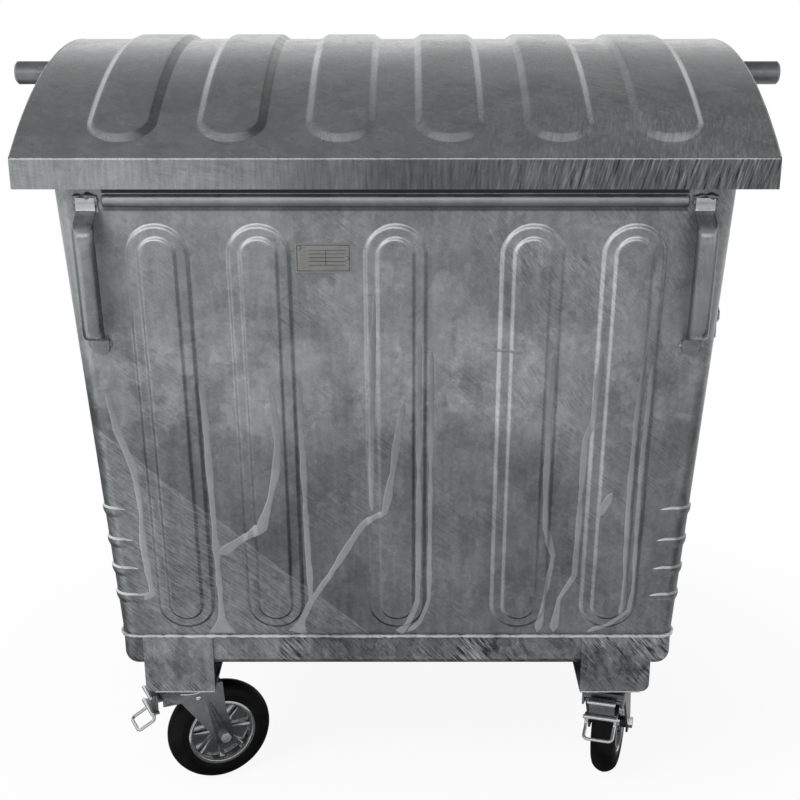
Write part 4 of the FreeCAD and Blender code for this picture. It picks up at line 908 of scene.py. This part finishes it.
RUNS = [
    (13, [(-470, 470), (-465, 440), (-459, 401), (-439, 331), (-433, 261), (-435, 183),
          (-431, 122), (-427, 83), (-450, 75), (-478, 80)]),
    (14, [(-204, 480), (-198, 430), (-195, 383), (-201, 327), (-214, 270), (-229, 222),
          (-268, 192), (-308, 163)]),
    (13, [(12, 454), (6, 419), (-6, 330), (-20, 250), (-40, 238), (-58, 222), (-80, 186),
          (-113, 128), (-149, 71), (-166, 34), (-176, 3)], 1.6),
    (10, [(-34, 627), (-39, 455), (-43, 327), (-42, 251)]),
    (9, [(38, 560), (37, 430), (37, 307), (37, 150), (36, 72), (18, 22), (4, 3)], 0.8),
    (8, [(57, 540), (57, 430), (57, 284), (56, 72), (40, 25), (18, 4)]),
    (11, [(252, 540), (250, 419), (250, 284), (253, 219), (269, 161), (259, 82), (248, 4)]),
    (11, [(330, 540), (323, 419), (312, 384), (310, 270), (308, 122), (283, 72), (276, 4)]),
    (13, [(362, 289), (352, 268), (342, 242)]),
    (5, [(150, 541), (176, 543), (203, 541)]),
    (10, [(400, 540), (391, 419), (390, 270), (396, 72), (391, 42)]),
    (8, [(412, 520), (409, 419), (407, 316), (411, 92), (406, 52), (370, 20), (336, 4)]),
    (11, [(-315, 490), (-313, 440), (-312, 300), (-310, 150), (-309, 60), (-310, 3)], 3.4),
    (10, [(-157, 480), (-156, 430), (-155, 300), (-153, 170), (-151, 90), (-150, 60)]),
]
runs = [zinc_run("zinc_runs", route, width, *flare) for width, route, *flare in RUNS]
settle(joined("zinc_runs", runs), "tub", run_zinc, 60)


# %% [markdown]
# ## Rim bars
#
# A half-round bar stiffens each rim. The CAD bar is flat, so a grid is bent to a half ellipse of
# the same height and depth, and closed at its ends by letting the last columns sink to the wall.

# %% Half-round rim bars
BAR_ENDS = [(-446, 0.0), (-445.4, 0.5), (-443, 0.85), (-438, 1.0), (438, 1.0), (443, 0.85),
            (445.4, 0.5), (446, 0.0)]
BAR_HALF_HEIGHT, BAR_DEPTH, BAR_SINK = 10, 7, 0.3
FRONT_BAR_UP, REAR_BAR_UP = 785.95, 742.67


def rim_bar(name, frame_matrix, up):
    bar = new_grid(name + "_round", len(BAR_ENDS) - 1, 20)
    for vert in bar.data.vertices:
        along, share = BAR_ENDS[round((vert.co.x + 0.5) * (len(BAR_ENDS) - 1))]
        turn = vert.co.y * math.pi
        vert.co = Vector((along, up + BAR_HALF_HEIGHT * math.sin(turn) * (0.7 + 0.3 * share),
                          BAR_DEPTH * math.cos(turn) * share - BAR_SINK)) * MM
    bar.matrix_world = frame_matrix
    settle(bar, "tub", bar_zinc, 60)
    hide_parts(name)


rim_bar("rim_bar_front", FRONT, FRONT_BAR_UP)
rim_bar("rim_bar_rear", REAR, REAR_BAR_UP)


# %% [markdown]
# ## Softened CAD pieces
#
# Plates, arms, brackets, forks and pedals are right in the CAD model but have knife edges, and a
# real edge catches a thin highlight. A copy of the node is merged, its flat faces are dissolved
# back to whole ones, and a Bevel modifier rounds what is still sharp. The rounded edges of the
# wheels get a brighter metal, a painted highlight. Each caster bracket has a bright lip, a thin
# tube of bright zinc that is a painted highlight along its edge. A station is a caster's place and
# its heading in degrees.

# %% Soft edges
PLATE_EDGE, SHEET_EDGE, FORK_EDGE, RIM_EDGE = 0.0015, 0.0012, 0.0008, 0.0013
MERGE_DISTANCE = 0.00002


def soften(node_name, width, highlight_paint=None):
    source = nodes[node_name]
    piece = twin(source, node_name + "_soft", Matrix.Identity(4))
    piece.parent = None
    piece.matrix_world = Matrix.Identity(4)
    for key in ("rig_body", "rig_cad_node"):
        del piece[key]
    take(piece)
    bpy.ops.mesh.customdata_custom_splitnormals_clear()
    edit(piece)
    bpy.ops.mesh.remove_doubles(threshold=MERGE_DISTANCE)
    bpy.ops.mesh.dissolve_limited(angle_limit=math.radians(1.0))
    clear_selection()
    # The second paint on the bevel faces is a painted highlight.
    if highlight_paint:
        piece.data.materials.append(highlight_paint)
    modify(piece, "BEVEL", width=width, segments=2, limit_method="ANGLE",
           angle_limit=math.radians(35), material=1 if highlight_paint else 0)
    marks = [face.material_index for face in piece.data.polygons]
    settle(piece, source["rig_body"], finish_of(node_name))
    if highlight_paint:
        piece.data.materials.append(highlight_paint)
        for face, mark in zip(piece.data.polygons, marks):
            face.material_index = mark
    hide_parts(node_name)


for side in ("left", "right"):
    soften("trunnion_plate_" + side, PLATE_EDGE)
    soften("lid_pivot_bracket_" + side, SHEET_EDGE)
    soften("lid_arm_" + side, SHEET_EDGE)
STATIONS = {"front_left": (-0.390, -0.305, 25), "front_right": (0.390, -0.305, 74),
            "rear_left": (-0.390, 0.305, 65), "rear_right": (0.390, 0.305, 110)}
LIP_INNER, LIP_OUTER, LIP_DEPTH, LIP_HEIGHT = 0.061, 0.046, 0.3830, 0.2312
for station, (x, y, _) in STATIONS.items():
    soften("caster_bracket_" + station, SHEET_EDGE)
    # The lip is a thin tube of bright zinc, a painted highlight along the bracket's edge.
    out, depth = math.copysign(1.0, x), math.copysign(LIP_DEPTH, y)
    lip = [(x - out * LIP_INNER, depth, LIP_HEIGHT), (x + out * LIP_OUTER, depth, LIP_HEIGHT)]
    settle(weld("bracket_lip_highlight_" + station, [lip], 0.0016, 0.25), "tub", bright_zinc, 70)
    soften("caster_fork_" + station, FORK_EDGE)
    # The wheel rims' bevels get bright zinc as a painted highlight.
    soften("wheel_rim_" + station, RIM_EDGE, highlight_paint=bright_zinc)
for side in ("left", "right"):
    soften("brake_pedal_front_" + side, FORK_EDGE)

# %% [markdown]
# ## Wheels
#
# A tyre is a section turned about its axle: crowned tread, round shoulders, a step on each side
# wall. Spin turns the closed section, and the seam where it meets itself is merged. The wheel's
# metal flange is a second, slimmer section. Both are modelled once, lying on the origin, and copied
# to the four stations.

# %% Turned pieces
def turned(name, section, steps):
    clear_selection()
    bpy.ops.mesh.primitive_circle_add(vertices=len(section), radius=1, fill_type="NOTHING")
    piece = bpy.context.object
    piece.name = name
    for vert, (radius, height) in zip(piece.data.vertices, section):
        vert.co = Vector((radius, 0, height)) * MM
    edit(piece)
    bpy.ops.mesh.spin(steps=steps, angle=2 * math.pi, center=(0, 0, 0), axis=(0, 0, 1))
    bpy.ops.mesh.select_all(action="SELECT")
    bpy.ops.mesh.remove_doubles(threshold=MERGE_DISTANCE)
    bpy.ops.mesh.normals_make_consistent(inside=False)
    clear_selection()
    return piece


HALF_TYRE = [(62.2, -20), (64, -21.6), (68, -22.6), (75, -23), (75.6, -22.2), (77, -22.2),
             (77.6, -23), (83, -22.6), (88, -20.6), (92.5, -17), (96, -12.4), (98.6, -7),
             (99.8, -2.2), (99.95, 0)]
TYRE = HALF_TYRE + [(radius, -across) for radius, across in reversed(HALF_TYRE[:-1])]
FLANGE = [(57.5, -19.5), (58.5, -22), (61, -22.8), (64.5, -22.6), (65.5, -21.4), (64.8, -20.6),
          (61.5, -20.4), (60, -18.6)]
CASTER_TRAIL, AXLE_HEIGHT = 0.055, 0.1


def fork_matrix(station):
    x, y, heading = STATIONS[station]
    return Matrix.Translation((x, y, 0)) @ Matrix.Rotation(math.radians(heading), 4, "Z")


def wheel_matrix(station):
    return (fork_matrix(station) @ Matrix.Translation((CASTER_TRAIL, 0, AXLE_HEIGHT))
            @ Matrix.Rotation(math.pi / 2, 4, "X"))


tyre = turned("tyre_pattern", TYRE, 128)
flange = turned("flange_pattern", FLANGE, 96)
over = Matrix.Rotation(math.pi, 4, "X")
for station in STATIONS:
    place = wheel_matrix(station)
    rubber_ring = settle(twin(tyre, "tyre_%s_rubber" % station, place), "wheel_" + station,
                         tyre_rubber, 50)
    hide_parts("tyre_" + station)
    lips = [twin(flange, "flange", place), twin(flange, "flange", place @ over)]
    settle(joined("wheel_flange_" + station, lips), "wheel_" + station,
           flange_metal, 50)
drop(tyre)
drop(flange)

# %% [markdown]
# ## Swivels, rivets and pedal bars
#
# The crown of each fork ends in a rolled ring with a bright edge. The fork legs carry a rivet each,
# and the two pedals have a bright rounded bar along each lip. The ring and the rivet are turned
# sections, and a bar is a cylinder whose ends are rounded by a bevel.

# %% Small parts of the casters
RING = [(41.2, 203.8), (43.8, 203.8), (45.6, 204.8), (46, 206.4), (45.2, 208.0), (43.4, 208.8),
        (41.2, 208.6)]
DOME = [(0.01, -0.5), (5.6, -0.5), (5.4, 1.0), (4.4, 2.2), (2.6, 3.0), (0.01, 3.3)]
RIVET_ALONG, RIVET_OUT, RIVET_HEIGHT = 0.008, 0.038, 0.192
PEDAL_LIP, UPPER_BAR_HEIGHT, LOWER_BAR_HEIGHT = -0.0775, 0.2045, 0.1745


def rounded_bar(name, radius, length):
    clear_selection()
    bpy.ops.mesh.primitive_cylinder_add(vertices=24, radius=radius, depth=length,
                                        rotation=(math.pi / 2, 0, 0))
    bar = bpy.context.object
    bar.name = name
    bpy.ops.object.transform_apply(rotation=True)
    modify(bar, "BEVEL", width=radius * 0.6, segments=4, limit_method="ANGLE",
           angle_limit=math.radians(60))
    return bar


ring = turned("ring_pattern", RING, 72)
dome = turned("dome_pattern", DOME, 24)
upper_bar = rounded_bar("upper_bar_pattern", 0.0036, 0.052)
lower_bar = rounded_bar("lower_bar_pattern", 0.0040, 0.064)
for station in STATIONS:
    place = fork_matrix(station)
    parts = [(twin(ring, "swivel_ring_" + station, place), "swivel_")]
    rivets = [twin(dome, "rivet",
                   place @ Matrix.Translation((RIVET_ALONG, side * RIVET_OUT, RIVET_HEIGHT))
                   @ Matrix.Rotation(-side * math.pi / 2, 4, "X")) for side in (-1, 1)]
    parts.append((joined("fork_rivets_" + station, rivets), "swivel_"))
    if station.startswith("front"):
        bars = [twin(bar, "bar", place @ Matrix.Translation((PEDAL_LIP, 0, height)))
                for bar, height in ((upper_bar, UPPER_BAR_HEIGHT), (lower_bar, LOWER_BAR_HEIGHT))]
        parts.append((joined("pedal_bars_" + station, bars), "brake_"))
    for piece, body in parts:
        settle(piece, body + station, bright_zinc, 60)
for pattern in (ring, dome, upper_bar, lower_bar):
    drop(pattern)

# %% [markdown]
# ## Edges of the lid
#
# Where the crown meets the end plates runs a thin polished weld. It is the same kind of path as the
# other welds, only slimmer and nearly even, and it follows apron, crown and apron. The fold between
# crown and apron has the same bright line, front and rear.

# %% Bright edges of the lid
APRON_OUT, APRON_FOOT, APRON_TOP = 0.5182, 1.148, 1.1885
CROWN_RADIUS, CROWN_SWING, CROWN_STEPS = 1.0192, 30.3, 15
END_OUT, FOLD_END, FOLD_OUT, FOLD_HEIGHT = 0.5702, 0.569, 0.5186, 1.1910
crown_path = [(-APRON_OUT, APRON_FOOT), (-APRON_OUT, APRON_TOP)]
for number in range(-CROWN_STEPS, CROWN_STEPS + 1):
    swing = math.radians(CROWN_SWING * number / CROWN_STEPS)
    crown_path.append((math.sin(swing) * CROWN_RADIUS, LID_AXIS + math.cos(swing) * CROWN_RADIUS))
crown_path += [(APRON_OUT, APRON_TOP), (APRON_OUT, APRON_FOOT)]
ends = [[(side * END_OUT, y, z) for y, z in crown_path] for side in (-1, 1)]
folds = [[(end, side * FOLD_OUT, FOLD_HEIGHT) for end in (-FOLD_END, FOLD_END)]
         for side in (-1, 1)]
settle(weld("lid_end_welds", ends, 0.0014, 0.15, 0.012), "lid", weld_zinc, 70)
settle(weld("lid_fold_lines", folds, 0.0013, 0.02, 0.012), "lid", weld_zinc, 70)

# %% [markdown]
# ## The studio
#
# Metal shows what surrounds it, so the studio is part of the finish. The floor is pale and runs out
# to white. The sky is white where the camera or a mirror looks, and softer for shading. Grey cards
# are seen by reflections alone: some above for the crown of the lid, and some on the floor for the
# walls, which lean out and mirror the ground. Under the tub and right of it they are nearly black,
# which draws the dark flanks of the ribs. Left of the front the floor stays bare, and the left
# flanks catch its white. The lamp only shades: what the metal mirrors of it is a wide, dim soft box
# in front.

# %% Floor, sky and cards
def seen_outright(paint):
    rays = paint.node("ShaderNodeLightPath").socket.node
    camera_ray, mirrored, passed = [Value(paint, rays.outputs["Is %s Ray" % kind])
                                    for kind in ("Camera", "Glossy", "Transmission")]
    return step(camera_ray + mirrored + passed, 0.4, 0.6)


def glow(paint, shade):
    return paint.node("ShaderNodeEmission", None, {"Color": (shade, shade, shade, 1)})


floor_paint = new_paint("studio_floor")
x, y, _ = where(floor_paint)
distance = floor_paint.node("ShaderNodeMath", {"operation": "SQRT"}, {0: x * x + y * y})
floor_paint.feed(Base_Color=(0.86, 0.86, 0.86, 1.0), Roughness=0.75)
whiter = (0.92 + 0.08 * step(distance, 0.5, 1.5)) * seen_outright(floor_paint)
shaded = Value(floor_paint, floor_paint.shader.outputs[0])
floor_paint.show(floor_paint.node("ShaderNodeMixShader", None,
                                  {0: whiter, 1: shaded, 2: glow(floor_paint, 1)}))
clear_selection()
bpy.ops.mesh.primitive_circle_add(vertices=96, radius=30, fill_type="NGON")
floor = bpy.context.object
floor.name = "studio_floor"
floor.data.materials.append(floor_paint.owner)


def card(name, shade, size, location, turn=0):
    paint = new_paint(name)
    paint.show(glow(paint, shade))
    clear_selection()
    bpy.ops.mesh.primitive_plane_add(size=1, location=location,
                                     rotation=(math.radians(turn), 0, 0))
    piece = bpy.context.object
    piece.name = name
    piece.scale = (*size, 1)
    piece.data.materials.append(paint.owner)
    piece.visible_camera = piece.visible_shadow = piece.visible_diffuse = False


CEILING, GROUND, UPPER_GROUND = 4.2, 0.003, 0.004
card("grey_ceiling", 0.16, (9.0, 4.5), (0, 0.75, CEILING))
card("grey_ceiling_middle", 0.30, (9.0, 2.0), (0, 4.0, CEILING))
card("grey_ceiling_rear", 0.60, (9.0, 2.8), (0, 6.4, CEILING))
card("grey_ceiling_front", 0.36, (9.0, 4.5), (0, -3.75, CEILING))
card("grey_front", 0.50, (9.0, 1.8), (0, -6.0, 1.0), 90)
card("soft_box", 1.8, (7.0, 2.2), (-1.5, -6.0, 3.0), 90)
for end, side in (("front", 1), ("rear", -1)):
    card("grey_ground_far_" + end, 0.40, (3.85, 2.32), (0.675 * side, -2.46 * side, GROUND))
    card("grey_ground_near_" + end, 0.40, (3.35, 0.68), (0.925 * side, -0.96 * side, GROUND))
    card("dark_ground_" + end, 0.02, (2.35, 0.80), (2.025 * side, -0.85 * side, UPPER_GROUND))
card("grey_ground_left", 0.16, (1.0, 1.07), (-1.0, 0.065, GROUND))
card("grey_ground_far_left", 0.16, (1.7, 1.55), (-2.35, -0.175, GROUND))
card("grey_ground_right", 0.50, (2.7, 1.07), (1.85, 0.085, GROUND))
# The dark card under the tub is a painted shadow: reflections see it in place of the shaded floor.
card("painted_shadow_under", 0.08, (1.0, 0.94), (0, 0, GROUND))

world = bpy.context.scene.world or bpy.data.worlds.new("studio")
bpy.context.scene.world = world
sky = Paint(world)
sky.feed(Strength=0.40 + 0.60 * seen_outright(sky), Color=(1, 1, 1, 1))

LAMP_PLACE, LAMP_TARGET = Vector((-2.4, -2.4, 3.2)), Vector((0, 0, 0.8))
clear_selection()
bpy.ops.object.light_add(type="AREA", location=LAMP_PLACE)
lamp = bpy.context.object
lamp.name = "key_lamp"
lamp.data.energy = 150
lamp.data.size = 2.0
lamp.visible_glossy = False
lamp.rotation_euler = (LAMP_TARGET - LAMP_PLACE).to_track_quat("-Z", "Y").to_euler()
print("studio ready")

# %% [markdown]
# ## The camera
#
# The camera stands a little above the lid and looks down by twenty degrees. Its place and lens were
# solved from points of the container whose real places are known, and the shift only sets the cut
# of the picture.

# %% Camera
clear_selection()
bpy.ops.object.camera_add(location=(0.0195, -2.640, 1.461), rotation=(math.radians(69.7), 0, 0))
camera = bpy.context.object
camera.data.sensor_width = 36.0
camera.data.lens = 63.54
camera.data.shift_x = -0.0103
camera.data.shift_y = 0.1075
bpy.context.scene.camera = camera
bpy.context.scene.view_settings.view_transform = "Standard"
